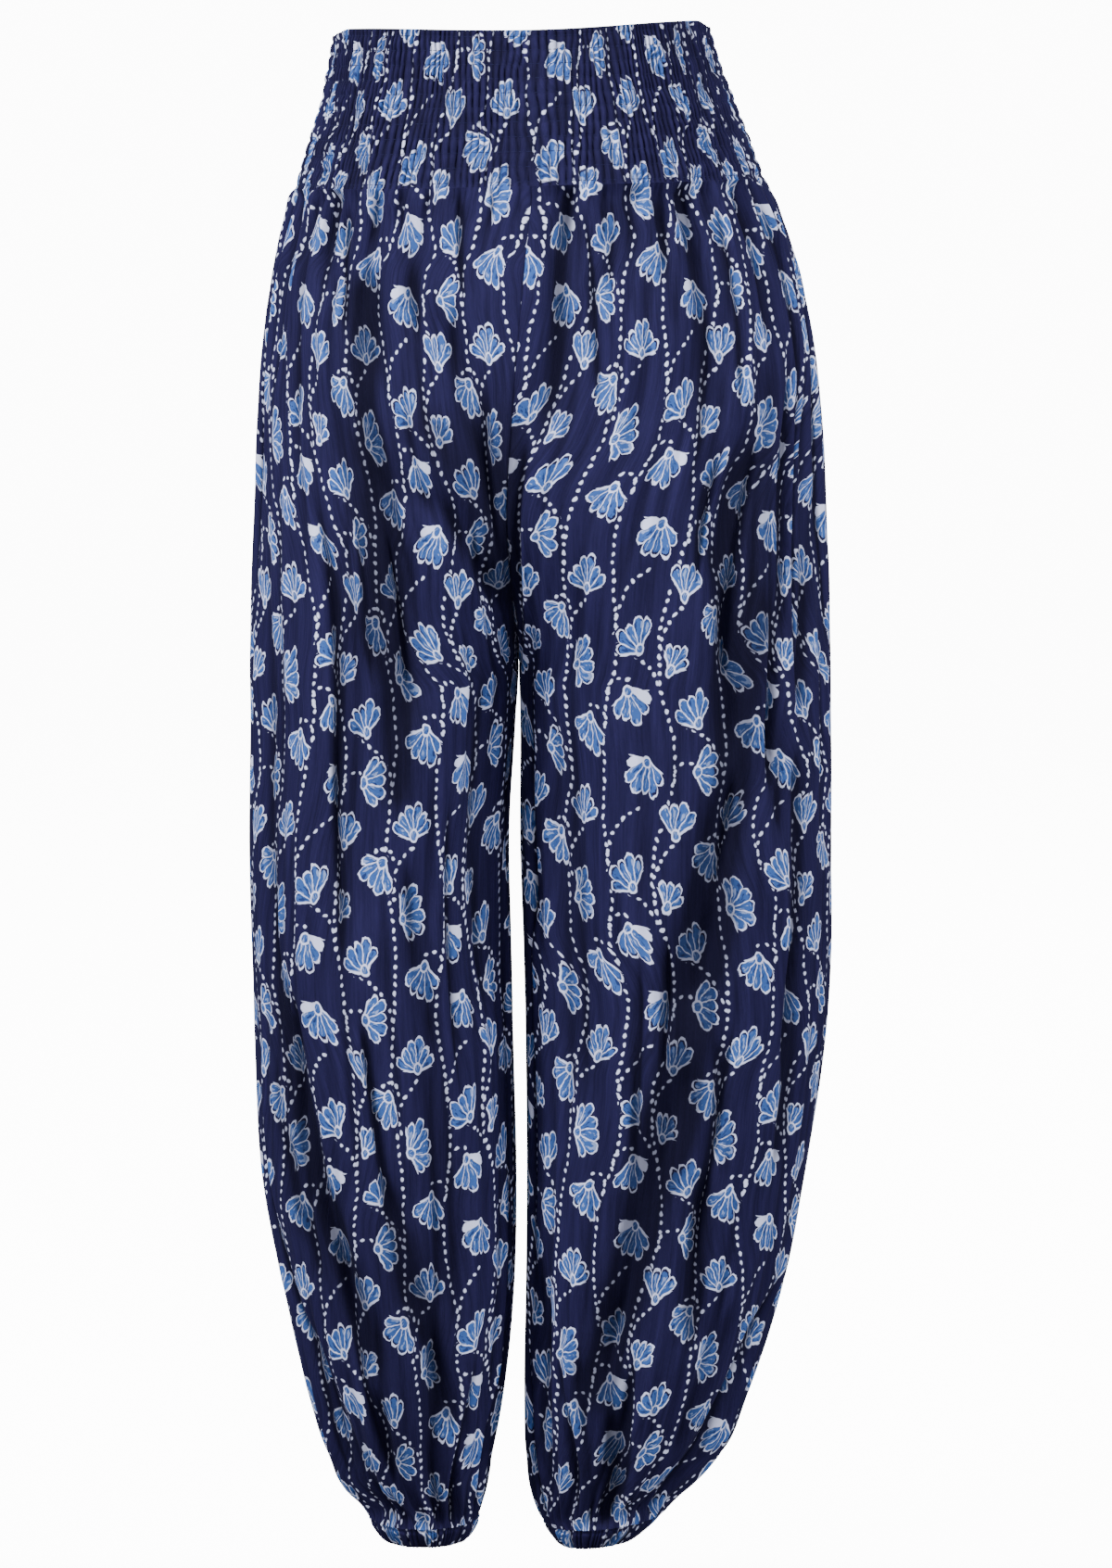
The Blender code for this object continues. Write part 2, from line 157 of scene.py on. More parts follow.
# %% Folds
FOLD_COLUMNS = ("top", "z_top", "bottom", "z_bottom", "half_width", "depth")
FOLDS = {
    "leg_right_front": (
        (0.63, -20, 0.52, -140, 12, -7),
        (0.41, -40, 0.36, -190, 12, -6),
        (0.84, -20, 0.78, -190, 13, -6),
        (0.20, -110, 0.02, -275, 14, -8),
        (0.33, -225, 0.06, -325, 14, -8),
        (0.40, -200, 0.45, -410, 17, -10),
        (0.56, -230, 0.57, -560, 13, -7),
        (0.23, -320, 0.20, -600, 17, -8),
        (0.78, -300, 0.82, -640, 18, -6),
        (0.40, -560, 0.34, -800, 18, -6),
        (0.84, -760, 0.64, -945, 14, -9),
        (0.41, -770, 0.41, -945, 12, -7),
    ),
    "leg_left_front": (
        (0.04, -20, 0.12, -230, 12, -9),
        (0.24, -25, 0.27, -150, 12, -6),
        (0.41, -20, 0.47, -220, 13, -10),
        (0.64, -20, 0.68, -170, 12, -7),
        (0.59, -180, 0.59, -440, 14, -13),
        (0.74, -150, 0.69, -450, 11, -7),
        (0.82, -160, 0.79, -420, 11, -7),
        (0.62, -400, 0.47, -600, 16, -11),
        (0.24, -360, 0.30, -660, 18, -7),
        (0.88, -750, 0.68, -940, 15, -11),
        (0.36, -740, 0.50, -945, 13, -8),
        (0.13, -720, 0.24, -940, 13, -6),
    ),
    "leg_right_back": (
        (0.08, -20, 0.13, -210, 12, -8),
        (0.36, -20, 0.38, -170, 12, -7),
        (0.60, -20, 0.54, -250, 13, -9),
        (0.84, -30, 0.78, -180, 12, -6),
        (0.38, -220, 0.06, -335, 15, -8),
        (0.68, -290, 0.58, -560, 16, -10),
        (0.28, -430, 0.40, -740, 18, -7),
        (0.84, -560, 0.80, -800, 17, -6),
        (0.84, -770, 0.60, -945, 14, -9),
        (0.32, -790, 0.40, -945, 12, -7),
    ),
    "leg_left_back": (
        (0.14, -20, 0.17, -240, 12, -8),
        (0.42, -20, 0.38, -180, 12, -7),
        (0.66, -20, 0.58, -200, 13, -9),
        (0.86, -30, 0.80, -260, 12, -7),
        (0.40, -210, 0.06, -330, 15, -8),
        (0.56, -270, 0.68, -520, 16, -10),
        (0.34, -460, 0.26, -700, 18, -7),
        (0.78, -520, 0.86, -780, 17, -6),
        (0.86, -750, 0.58, -945, 14, -10),
        (0.26, -780, 0.42, -945, 12, -7),
    ),
}


def panel_width(side, z, t):
    """Rough width in millimetres of the panel that t lies on, round the leg."""
    _, half_width, half_turn, _ = leg_frame(side, z)
    depth = np.where(t < 0, section("front", z), section("back", z))
    return half_turn * (half_width + depth) / 2


def bell(away, width):
    """1 on a line and less to both sides: e to the power of minus (away over width) squared."""
    return np.exp(-((away / width) ** 2))


def lengthwise(down, steep):
    """A trough's strength along its line: eased in and out over 1 / steep of its length."""
    return ease(steep * down) * ease(steep * (1 - down))


def lines_of(leg, table, columns, side, z, t):
    """Each row of a leg's fold tables, with how far along its line every point is, 0 to 1,
    and how far to one side of it in millimetres, plus towards the side seam."""
    width = panel_width(side, z, t)
    for part, way in (("front", -1), ("back", 1)):
        for row in table[f"{leg}_{part}"]:
            fold = dict(zip(columns, row))
            down = (z - fold["z_top"]) / (fold["z_bottom"] - fold["z_top"])
            across = fold["top"] + (fold["bottom"] - fold["top"]) * down
            yield fold, down, (1 - way * t - across) * width


FULL_SHADE_DEPTH = 22


def fold_moves(leg, side, z, t):
    """Millimetres that the large folds move the cloth out, and how much painted shade lies in
    them, 0 to 1. Both are a bell across the fold, eased in and out over a quarter of its length."""
    moves, shade = np.zeros_like(z), np.zeros_like(z)
    for fold, down, away in lines_of(leg, FOLDS, FOLD_COLUMNS, side, z, t):
        length = lengthwise(down, 4)
        moves += fold["depth"] * length * bell(away, fold["half_width"])
        shade -= fold["depth"] / FULL_SHADE_DEPTH * length * bell(away, 0.75 * fold["half_width"])
    return moves, shade


print("large folds:", sum(len(rows) for rows in FOLDS.values()))

# %% [markdown]
# ## Sharp pleats and small creases
# Where the cloth laps over itself a hard edge runs down the leg and cuts the flowers in
# two. A grid can't lap over itself, so a pleat is a steep step with a raised lip, and the
# cloth that its fold would hide is skipped in the print: hidden is that width. Small
# creases are soft troughs, and ridges where their depth is plus. All are listed one by one,
# the front's from how such trousers hang, and like ones on the back.

# %% Creases
CREASE_COLUMNS = ("top", "z_top", "bottom", "z_bottom", "half_width", "depth", "hidden")
CREASES = {
    "leg_right_front": (
        (0.61, -225, 0.575, -560, 5, -2.6, 15),
        (0.51, -250, 0.505, -365, 4, -3.5, 10),
        (0.73, -550, 0.70, -655, 4, -3.5, 10),
        (0.43, -250, 0.43, -372, 5, -4.0, 15),
        (0.53, -560, 0.50, -720, 5, -3.5, 14),
        (0.70, -60, 0.66, -210, 7, -3.5, 0),
        (0.53, -56, 0.47, -150, 6, -3.0, 6),
        (0.31, -56, 0.24, -150, 6, -3.0, 0),
        (0.16, -56, 0.12, -130, 6, -2.6, 5),
        (0.92, -60, 0.90, -330, 6, -3.5, 8),
        (0.12, -190, 0.02, -300, 8, -4.0, 0),
        (0.66, -380, 0.68, -600, 9, 3.0, 0),
        (0.33, -420, 0.31, -640, 7, -3.0, 8),
        (0.08, -420, 0.06, -640, 7, -3.5, 10),
        (0.24, -650, 0.33, -850, 8, 3.0, 0),
        (0.68, -640, 0.55, -900, 7, -3.5, 7),
        (0.92, -620, 0.78, -925, 7, -4.0, 8),
        (0.28, -800, 0.33, -930, 6, -3.5, 6),
        (0.12, -790, 0.20, -930, 6, -3.5, 6),
        (0.53, -800, 0.50, -930, 6, 3.0, 0),
        (0.43, -85, 0.41, -260, 8, -4.5, 0),
        (0.28, -85, 0.24, -215, 8, -3.5, 0),
        (0.48, -170, 0.53, -290, 9, -3.5, 0),
        (0.44, -340, 0.46, -440, 10, -3.0, 0),
        (0.44, -460, 0.36, -610, 10, -4.5, 0),
        (0.79, -520, 0.55, -820, 12, -7.0, 0),
        (0.76, -640, 0.70, -760, 9, -4.5, 0),
        (0.50, -670, 0.45, -780, 10, -4.5, 0),
        (0.46, -735, 0.34, -860, 9, -5.0, 0),
        (0.58, -815, 0.51, -920, 7, -4.0, 0),
    ),
    "leg_left_front": (
        (0.10, -56, 0.20, -190, 6, -3.5, 8),
        (0.33, -56, 0.36, -150, 6, -3.0, 0),
        (0.53, -56, 0.55, -200, 6, -3.5, 7),
        (0.76, -56, 0.80, -190, 6, -3.0, 6),
        (0.90, -60, 0.90, -380, 7, -3.5, 8),
        (0.53, -205, 0.52, -305, 4, -3.5, 11),
        (0.62, -205, 0.615, -312, 4, -4.0, 12),
        (0.48, -515, 0.475, -615, 4, -4.0, 12),
        (0.745, -165, 0.735, -345, 4, -3.5, 13),
        (0.80, -165, 0.78, -372, 4, -3.5, 13),
        (0.72, -325, 0.68, -440, 5, -5.0, 15),
        (0.61, -280, 0.58, -365, 5, -5.0, 15),
        (0.60, -415, 0.57, -500, 6, -4.0, 10),
        (0.05, -200, 0.02, -330, 8, -4.0, 0),
        (0.30, -200, 0.36, -420, 10, 2.6, 0),
        (0.13, -400, 0.10, -640, 7, -3.5, 10),
        (0.42, -520, 0.44, -700, 8, -3.0, 7),
        (0.78, -470, 0.74, -620, 5, -3.5, 12),
        (0.60, -560, 0.56, -760, 7, -3.5, 9),
        (0.74, -700, 0.62, -900, 9, 3.5, 0),
        (0.46, -790, 0.54, -930, 6, -3.5, 6),
        (0.26, -800, 0.38, -930, 6, -3.5, 6),
        (0.08, -800, 0.16, -930, 6, -3.5, 5),
        (0.20, -50, 0.16, -130, 7, -3.5, 0),
        (0.36, -50, 0.30, -125, 7, -3.5, 0),
        (0.45, -185, 0.56, -300, 9, -4.0, 0),
        (0.87, -235, 0.79, -390, 8, -4.0, 0),
        (0.70, -370, 0.70, -465, 7, -4.5, 0),
        (0.75, -395, 0.79, -530, 8, -4.5, 0),
        (0.10, -395, 0.14, -540, 9, -5.0, 0),
        (0.76, -520, 0.76, -690, 8, -4.5, 0),
        (0.57, -480, 0.49, -650, 11, -5.0, 0),
        (0.525, -590, 0.38, -830, 12, -8.0, 0),
        (0.57, -580, 0.62, -690, 7, -4.0, 0),
        (0.57, -665, 0.58, -800, 9, -5.5, 0),
        (0.32, -790, 0.39, -915, 7, -4.5, 0),
        (0.44, -830, 0.50, -930, 7, -4.0, 0),
        (0.68, -755, 0.63, -880, 8, -5.0, 0),
    ),
    "leg_right_back": (
        (0.22, -56, 0.26, -190, 6, -3.5, 7),
        (0.48, -56, 0.46, -160, 6, -3.0, 5),
        (0.72, -56, 0.68, -230, 6, -3.5, 8),
        (0.92, -60, 0.90, -330, 6, -3.5, 8),
        (0.52, -240, 0.54, -520, 5, -4.5, 16),
        (0.76, -330, 0.72, -600, 6, -4.0, 13),
        (0.12, -420, 0.10, -650, 7, -3.5, 9),
        (0.40, -560, 0.46, -800, 8, -3.0, 8),
        (0.64, -640, 0.54, -880, 6, -3.5, 10),
        (0.20, -780, 0.28, -930, 6, -3.5, 6),
        (0.50, -800, 0.50, -930, 6, -3.5, 6),
        (0.93, -640, 0.80, -925, 7, -4.0, 8),
        (0.34, -90, 0.40, -260, 8, -4.0, 0),
        (0.58, -250, 0.50, -430, 10, -5.0, 0),
        (0.30, -340, 0.36, -520, 10, -4.0, 0),
        (0.74, -520, 0.52, -820, 12, -7.0, 0),
        (0.34, -700, 0.44, -880, 10, -5.0, 0),
        (0.72, -800, 0.62, -920, 8, -4.5, 0),
    ),
    "leg_left_back": (
        (0.26, -56, 0.28, -180, 6, -3.5, 7),
        (0.54, -56, 0.50, -170, 6, -3.0, 5),
        (0.76, -56, 0.72, -240, 6, -3.5, 8),
        (0.93, -60, 0.91, -360, 6, -3.5, 8),
        (0.48, -230, 0.50, -480, 5, -4.5, 16),
        (0.74, -300, 0.76, -560, 6, -4.0, 13),
        (0.12, -400, 0.14, -640, 7, -3.5, 9),
        (0.44, -600, 0.40, -800, 8, -3.0, 8),
        (0.64, -560, 0.58, -820, 6, -3.5, 10),
        (0.16, -780, 0.26, -930, 6, -3.5, 6),
        (0.44, -800, 0.50, -930, 6, -3.5, 6),
        (0.94, -620, 0.82, -925, 7, -4.0, 8),
        (0.30, -90, 0.34, -240, 8, -4.0, 0),
        (0.62, -220, 0.56, -400, 10, -5.0, 0),
        (0.28, -360, 0.34, -520, 10, -4.0, 0),
        (0.70, -480, 0.46, -800, 12, -7.5, 0),
        (0.30, -680, 0.40, -860, 10, -5.0, 0),
        (0.68, -790, 0.60, -920, 8, -4.5, 0),
    ),
}


SHARP_SHARE, SHARP_LINE = 0.42, 1.1
LIP_PLACE, LIP_WIDTH, LIP_HEIGHT = 0.95, 0.55, 0.5


def crease_moves(leg, side, z, t):
    """Millimetres out, millimetres of print skipped, and painted shade. A soft crease is depth
    times a bell, with painted shade in its trough. A pleat is steep on one side, a thin dark
    line of painted shade runs along its edge, and beside it a lip stands out by half its depth."""
    moves, skipped, shade = np.zeros_like(z), np.zeros_like(z), np.zeros_like(z)
    for fold, down, away in lines_of(leg, CREASES, CREASE_COLUMNS, side, z, t):
        length = lengthwise(down, 4)
        away = away + 1.4 * np.sin(z / 31 + 9 * fold["top"])
        half, sharp = fold["half_width"], fold["hidden"] > 0
        width = half * np.where((away > 0) & sharp, SHARP_SHARE, 1.0)
        moves += fold["depth"] * length * bell(away, width)
        shade += max(-fold["depth"], 0) / 10 * length * bell(away, 0.8 * width)
        if sharp:
            shade += 0.55 * length * bell(away - 0.4, SHARP_LINE)
            lip = bell(away - LIP_PLACE * half, LIP_WIDTH * half)
            moves -= LIP_HEIGHT * fold["depth"] * length * lip
            skipped += fold["hidden"] * lengthwise(down, 2) * ease(away / 2.0 + 0.35)
    return moves, skipped, shade


rows = [row for table in CREASES.values() for row in table]
print("creases:", len(rows), "of which pleats:", sum(row[-1] > 0 for row in rows))

# %% [markdown]
# ## Shadows in the deepest troughs
# Two long troughs run down the front, one on each leg, and the cloth folds away beside the
# fork. Hardly any light reaches their floors, which a shell without the real cloth's laps
# can't show. So a third table darkens them: the same kind of lines, with a shade for depth.

# %% Shadows
SHADOW_COLUMNS = ("top", "z_top", "bottom", "z_bottom", "half_width", "shade")
SHADOWS = {
    "leg_right_front": (
        (0.425, -95, 0.420, -235, 10, 0.95),
        (0.415, -190, 0.490, -350, 12, 1.00),
        (0.485, -300, 0.445, -450, 12, 0.95),
        (0.26, -180, 0.03, -320, 18, 0.80),
        (0.79, -540, 0.57, -810, 13, 0.75),
        (0.57, -770, 0.50, -880, 11, 0.45),
        (0.80, -600, 0.73, -730, 9, 0.50),
        (0.50, -700, 0.44, -790, 15, 0.45),
        (0.46, -700, 0.36, -860, 13, 0.35),
    ),
    "leg_left_front": (
        (0.640, -150, 0.665, -345, 9, 0.70),
        (0.665, -290, 0.530, -560, 15, 1.15),
        (0.575, -480, 0.465, -690, 15, 1.15),
        (0.515, -600, 0.355, -850, 15, 1.20),
        (0.57, -670, 0.58, -800, 9, 0.45),
        (0.76, -390, 0.77, -700, 9, 0.40),
    ),
    "leg_right_back": (
        (0.66, -270, 0.57, -580, 12, 0.60),
        (0.70, -540, 0.54, -810, 12, 0.45),
        (0.34, -210, 0.06, -330, 15, 0.60),
    ),
    "leg_left_back": (
        (0.57, -250, 0.66, -540, 12, 0.60),
        (0.68, -500, 0.48, -790, 12, 0.50),
        (0.36, -210, 0.06, -330, 15, 0.60),
    ),
}


def shadow_shade(leg, side, z, t):
    """The extra painted shade in the deepest troughs, 0 to about 1: bells across, eased at the
    ends.
    """
    shade = np.zeros_like(z)
    for fold, down, away in lines_of(leg, SHADOWS, SHADOW_COLUMNS, side, z, t):
        shade += fold["shade"] * lengthwise(down, 6) * bell(away, fold["half_width"])
    return shade


print("shadows:", sum(len(rows) for rows in SHADOWS.values()))

# %% [markdown]
# ## Gathers
# The shirring draws about twice the cloth's width into the waistband, so fine gathers 3 to
# 5 mm apart stand on the band and open below it, first into pairs and then into the soft
# folds. The same happens above the elastic hems. One wave function serves the band and the
# top of the legs, so that the gathers run on through the seam.

# %% Gathers
BAND_GATHERS, CASING_GATHERS, PANEL_GATHERS = 200, 72, 12
BAND_HEIGHT, CASING_HEIGHT = 3.0, 2.1
NOISE = np.random.default_rng(5).uniform(-1, 1, (97, 200))


def uneven(turn, z, across, tall, seed):
    """Smooth seeded noise, -1 to 1, with that many cells across the body's whole turn, each
    tall millimetres high. Eased sums of the four corners of a cell."""
    column = turn / (2 * pi) % 1.0 * across
    row = (z + 1000) / tall + 13 * seed
    i, j = np.floor(row).astype(int), np.floor(column).astype(int)
    up, over = ease(row - i), ease(column - j)
    low = NOISE[i % 97, j % across] * (1 - over) + NOISE[i % 97, (j + 1) % across] * over
    i = i + 1
    high = NOISE[i % 97, j % across] * (1 - over) + NOISE[i % 97, (j + 1) % across] * over
    return low * (1 - up) + high * up


def fine_wave(turn, z, count, seed):
    """A wave with sharp valleys and round crests, 0 to 1, round the body at turn. The
    absolute sine of half the phase; the phase wanders a little, and so does the height."""
    wander = 1.5 * np.sin(7 * turn + z / 58 + seed) + 1.0 * np.sin(19 * turn - z / 34 + 2 * seed)
    wander = wander + 0.75 * uneven(turn, z, count // 2, 12, seed)
    phase = count * turn / 2 + wander
    height = 0.68 + 0.34 * uneven(turn, z, count // 2, 15, seed + 1)
    return np.abs(np.sin(phase)) ** 0.8 * height


def hem_turn(side, t):
    """The turn round a leg's hem of the point t."""
    return np.where(side > 0, pi * t, pi - pi * t)


def leg_turn(side, t):
    """The turn round the waist of the point t of a leg."""
    return np.where(side > 0, pi / 2 * t, pi - pi / 2 * t)


def casing_wave(side, turn, z):
    """The gathers of one hem casing."""
    return fine_wave(turn, z, CASING_GATHERS, 0.9 + side)


def band_wave(turn, z):
    """The gathers of the band, which run on into the top of the legs."""
    return fine_wave(turn, z, BAND_GATHERS, 0.4)


def held_places(wave, width, blocks):
    """Flat places along gathered rows. Each step holds more cloth where the wave is low, and
    every block of the row holds the same width, so that the print can't wander."""
    middle = (wave[:, 1:] + wave[:, :-1]) / 2
    share = (0.15 + np.clip(0.75 - middle, 0, 1)).reshape(len(wave), blocks, -1)
    share = (share / share.sum(axis=2, keepdims=True)).reshape(len(wave), -1) * width / blocks
    return np.concatenate([np.zeros_like(wave[:, :1]), np.cumsum(share, axis=1)], axis=1)


def wide_gathers(side, z, t):
    """The frame's twelve gathers a panel, under the band and over the hem. Each crest has
    its own height and reach, and the valleys sink by a third of it."""
    column = t * 2 * PANEL_GATHERS
    nearest = 2 * np.floor(column / 2) + 1
    crest = (1 - np.cos(pi * column)) / 2
    height = 0.74 + 0.26 * np.sin(2.4 * nearest + 1.3 * side)
    reach = 0.80 + 0.35 * np.sin(1.7 * nearest - 0.6 * side)
    moves = 0
    for length, rise, gone in ((95, 6.0, WAIST_SEAM - z), (80, 4.4, z - HEM_SEAM)):
        top = 0.65 * height * rise * ease(1 - gone / (length * reach))
        low = 0.35 * rise * ease(1 - gone / (length * 0.85))
        moves = moves + crest * (top + low) - low
    return moves


FINE_COLUMNS = ("from_band", "height", "count", "seed", "rise", "reach")
FINE_GATHERS = (
    (True, BAND_HEIGHT / 2, BAND_GATHERS, 0.4, 0, 42),
    (True, 2.4, 104, 2.0, 14, 95),
    (False, 1.5, 124, 1.2, 0, 34),
    (False, 2.2, 72, 0.7, 10, 85),
)


def fine_gathers(side, z, t):
    """Finer gathers: two counts that fade below the band and two over the hem. Each is a
    wave of its height, which may rise first and is gone within its reach, here more and
    there less."""
    turn = leg_turn(side, t)
    share = 0.75 + 0.35 * np.sin(23 * turn) * np.sin(9 * turn + 1)
    moves = 0
    for row in FINE_GATHERS:
        kind = dict(zip(FINE_COLUMNS, row))
        gone = WAIST_SEAM - z if kind["from_band"] else z - HEM_SEAM
        strength = ease(1 - gone / (kind["reach"] * share))
        if kind["rise"]:
            strength = strength * ease(gone / kind["rise"])
        wave = fine_wave(turn, z, kind["count"], kind["seed"])
        moves = moves + kind["height"] * (wave - 0.5) * strength
    return moves


def hanging_waves(side, z, t):
    """Shallow uneven waves all over, about 2 mm high, where the cotton hangs free."""
    width = 520 * t * side
    free = ease((WAIST_SEAM - z) / 90) * ease((z - HEM_SEAM) / 60)
    waves = np.sin(width / 7.3 + 1.8 * np.sin(z / 83)) * np.sin(z / 118 + width / 39)
    waves += 0.8 * np.sin(width / 4.1 - 1.3 * np.sin(z / 57 + 1)) * np.sin(z / 74 - width / 51 + 2)
    turn = pi / 2 * t + (side + 1)
    waves += 0.9 * uneven(turn, z, 60, 190, 2 + side) + 0.45 * uneven(turn, z, 140, 130, 5 + side)
    return waves * free


# %% [markdown]
# ## How the cloth is cut, and where the print lies
# Every panel is a flat piece of cloth before it is gathered. The print is put on in the
# cloth's own flat millimetres: at each height the panel's cut width is shared out over the
# surface, and more of it goes into valleys, where gathered cloth hides. So the print is
# squeezed and broken on the band and at the hems just as the gathers do it.

# %% Flat cut
CUT_COLUMNS = ("z", "width")
CUT = (
    (-940, 290),
    (-922, 292),
    (-860, 308),
    (-700, 350),
    (-500, 385),
    (-358, 400),
    (-250, 372),
    (-150, 352),
    (-53, 340),
    (60, 340),
)


def cut_width(z):
    """Width of a flat leg panel at height z, straight between the table's rows."""
    rows = np.array(CUT, float)
    return np.interp(z, rows[:, 0], rows[:, 1])


def flat_places(grid, smooth_form, moves, skipped, z, wave):
    """Flat millimetres of each point: across, from the panel's middle, and down from the
    waist. Across sums the surface's steps, each stretched by the spare cloth, which goes
    mostly where the surface lies lower than its neighbours. Just under the band it is
    shared out as on the band itself, so that the print runs on over that seam."""
    step = np.linalg.norm(np.diff(grid, axis=1), axis=-1)
    low = (moves[:, 1:] + moves[:, :-1]) / 2
    wide = np.stack([np.roll(low, k, axis=1) for k in (-6, -4, -2, 2, 4, 6)]).mean(axis=0)
    hollow = np.clip((wide - low) / 1.2, 0, 2)
    weight = step * (0.35 + hollow)
    gap = np.abs(np.diff(skipped, axis=1))
    width = cut_width(z[:, :1])
    spare = width - step.sum(axis=1, keepdims=True) - gap.sum(axis=1, keepdims=True)
    across = step + gap + np.maximum(spare, 0) * weight / weight.sum(axis=1, keepdims=True)
    free = np.concatenate([np.zeros_like(z[:, :1]), np.cumsum(across, axis=1)], axis=1)
    held = held_places(wave, width, 5)
    fade = ease((WAIST_SEAM - z) / 55)
    middle = z.shape[1] // 2
    u = fade * (free - free[:, middle : middle + 1]) + (1 - fade) * (held - held[:, -1:] / 2)
    fall = np.linalg.norm(np.diff(smooth_form, axis=0), axis=-1)
    v = np.concatenate([np.zeros_like(z[:1]), np.cumsum(fall, axis=0)], axis=0)
    return np.stack([u, v], axis=-1)


def hollow_shade(moves, near, far):
    """Painted shade from how deep each point lies in a hollow, 0 to 1: its height against the
    mean of its neighbours, first near ones for the creases and then far ones for the folds."""
    shade = np.zeros_like(moves)
    for reach, depth, part in ((near, 2.4, 0.75), (far, 7.0, 0.45)):
        steps = [k for k in range(-reach, reach + 1, max(1, reach // 4)) if k]
        around = np.stack([np.roll(moves, k, axis=1) for k in steps]).mean(axis=0)
        shade += part * np.clip((around - moves) / depth, 0, 1)
    return np.clip(shade, 0, 1)


# %% [markdown]
# ## Turning point grids into thin shells
# A sheet of cloth is modelled as a closed shell: an outer skin, an inner skin 0.6 to 0.9 mm
# inside it, and a rim round the open edges. A Solidify modifier would do the same, but
# making both skins here lets each have its own material, since a printed cotton shows its
# print only faintly on the wrong side. Whole index arrays build the faces at once.

# %% Shell builder
def outward(grid, joined):
    """Unit normals of a grid of points. joined marks the rows whose two ends meet."""
    along = np.gradient(grid, axis=0)
    round_it = np.gradient(grid, axis=1)
    ends = (grid[:, 1] - grid[:, -2]) / 2
    round_it[joined, 0] = ends[joined]
    round_it[joined, -1] = ends[joined]
    normal = np.cross(along, round_it)
    return normal / np.linalg.norm(normal, axis=-1, keepdims=True)


def grid_corners(rows, columns, first):
    """Corner numbers of every quad in a grid of points that starts at first."""
    r, c = np.meshgrid(np.arange(rows - 1), np.arange(columns - 1), indexing="ij")
    corner = first + r * columns + c
    quads = np.stack([corner, corner + columns, corner + columns + 1, corner + 1], axis=-1)
    return quads.reshape(-1, 4)


def make_mesh(name, points, faces):
    """A mesh from whole arrays: points in metres, and the four corners of each face."""
    mesh = bpy.data.meshes.new(name)
    mesh.vertices.add(len(points))
    mesh.vertices.foreach_set("co", points.astype(np.float32).ravel())
    mesh.loops.add(faces.size)
    mesh.loops.foreach_set("vertex_index", faces.ravel().astype(np.int32))
    mesh.polygons.add(len(faces))
    mesh.polygons.foreach_set("loop_start", np.arange(0, faces.size, 4, dtype=np.int32))
    return mesh


def link_piece(name, mesh):
    """The mesh as an object of the scene, at the origin."""
    piece = bpy.data.objects.new(name, mesh)
    bpy.context.scene.collection.objects.link(piece)
    return piece


# INSIDE_SHADE is the painted shade on every cloth's inner skin
INSIDE_SHADE = 0.25
SMOOTH_BELOW = radians(70)


def make_shell(name, outer, inner, flat, hollow, materials, flipped=False, ring=False):
    """One closed shell. flat has a place in the cloth for each grid point, and hollow is each
    point's painted shade, 0 to 1, which darkens its colour; the inner skin gets a fixed
    painted shade. In a ring the grid's last column repeats its first, so that the print runs
    on round it."""
    rows, columns = outer.shape[:2]
    first = rows * columns
    skin = grid_corners(rows, columns, 0)
    under = grid_corners(rows, columns, first)[:, ::-1]
    number = np.arange(first).reshape(rows, columns)
    loops = [number[0], number[-1, ::-1]]
    if not ring:
        loops = [np.concatenate([number[0], number[1:, -1], number[-1, -2::-1], number[-2::-1, 0]])]
    rims = [np.stack([a[:-1], a[1:], a[1:] + first, a[:-1] + first], axis=-1) for a in loops]
    faces = np.concatenate([skin, under, *rims])
    if flipped:
        faces = faces[:, ::-1]
    place = np.concatenate([flat.reshape(-1, 2), flat.reshape(-1, 2)])[faces.ravel()] * 0.001
    points = np.concatenate([outer.reshape(-1, 3), inner.reshape(-1, 3)]) * 0.001
    # painted shade per point: the outer skin's own, and INSIDE_SHADE on the inner skin
    depth = np.concatenate([hollow.ravel(), np.full(first, INSIDE_SHADE)])
    if ring:
        same = np.arange(2 * first).reshape(2 * rows, columns)
        same[:, -1] = same[:, 0]
        kept, renumber = np.unique(same, return_inverse=True)
        faces = renumber.reshape(-1)[faces]
        points, depth = points[kept], depth[kept]
    mesh = make_mesh(name, points, faces)
    for material in materials:
        mesh.materials.append(material)
    side_of = np.zeros(len(faces), np.int32)
    side_of[len(skin) : 2 * len(skin)] = 1
    mesh.polygons.foreach_set("material_index", side_of)
    mesh.update(calc_edges=True)
    mesh.uv_layers.new(name="cloth").data.foreach_set("uv", place.astype(np.float32).ravel())
    attribute = mesh.attributes.new("hollow", "FLOAT", "POINT")
    attribute.data.foreach_set("value", depth.astype(np.float32))
    mesh.shade_smooth()
    mesh.set_sharp_from_angle(angle=SMOOTH_BELOW)
    areas = np.zeros(len(faces))
    mesh.polygons.foreach_get("area", areas)
    print(f"{name}: {2 * len(faces)} triangles, {areas.sum() / 2:.3f} square metres of cloth")
    return link_piece(name, mesh)


# %% [markdown]
# ## Socket sums
# The print is arithmetic on the cloth's flat millimetres, done by nodes. Written out by
# hand that is hundreds of nodes and links, so a small class lets Python's own signs make
# them: adding two sockets makes an Add node, and so on.

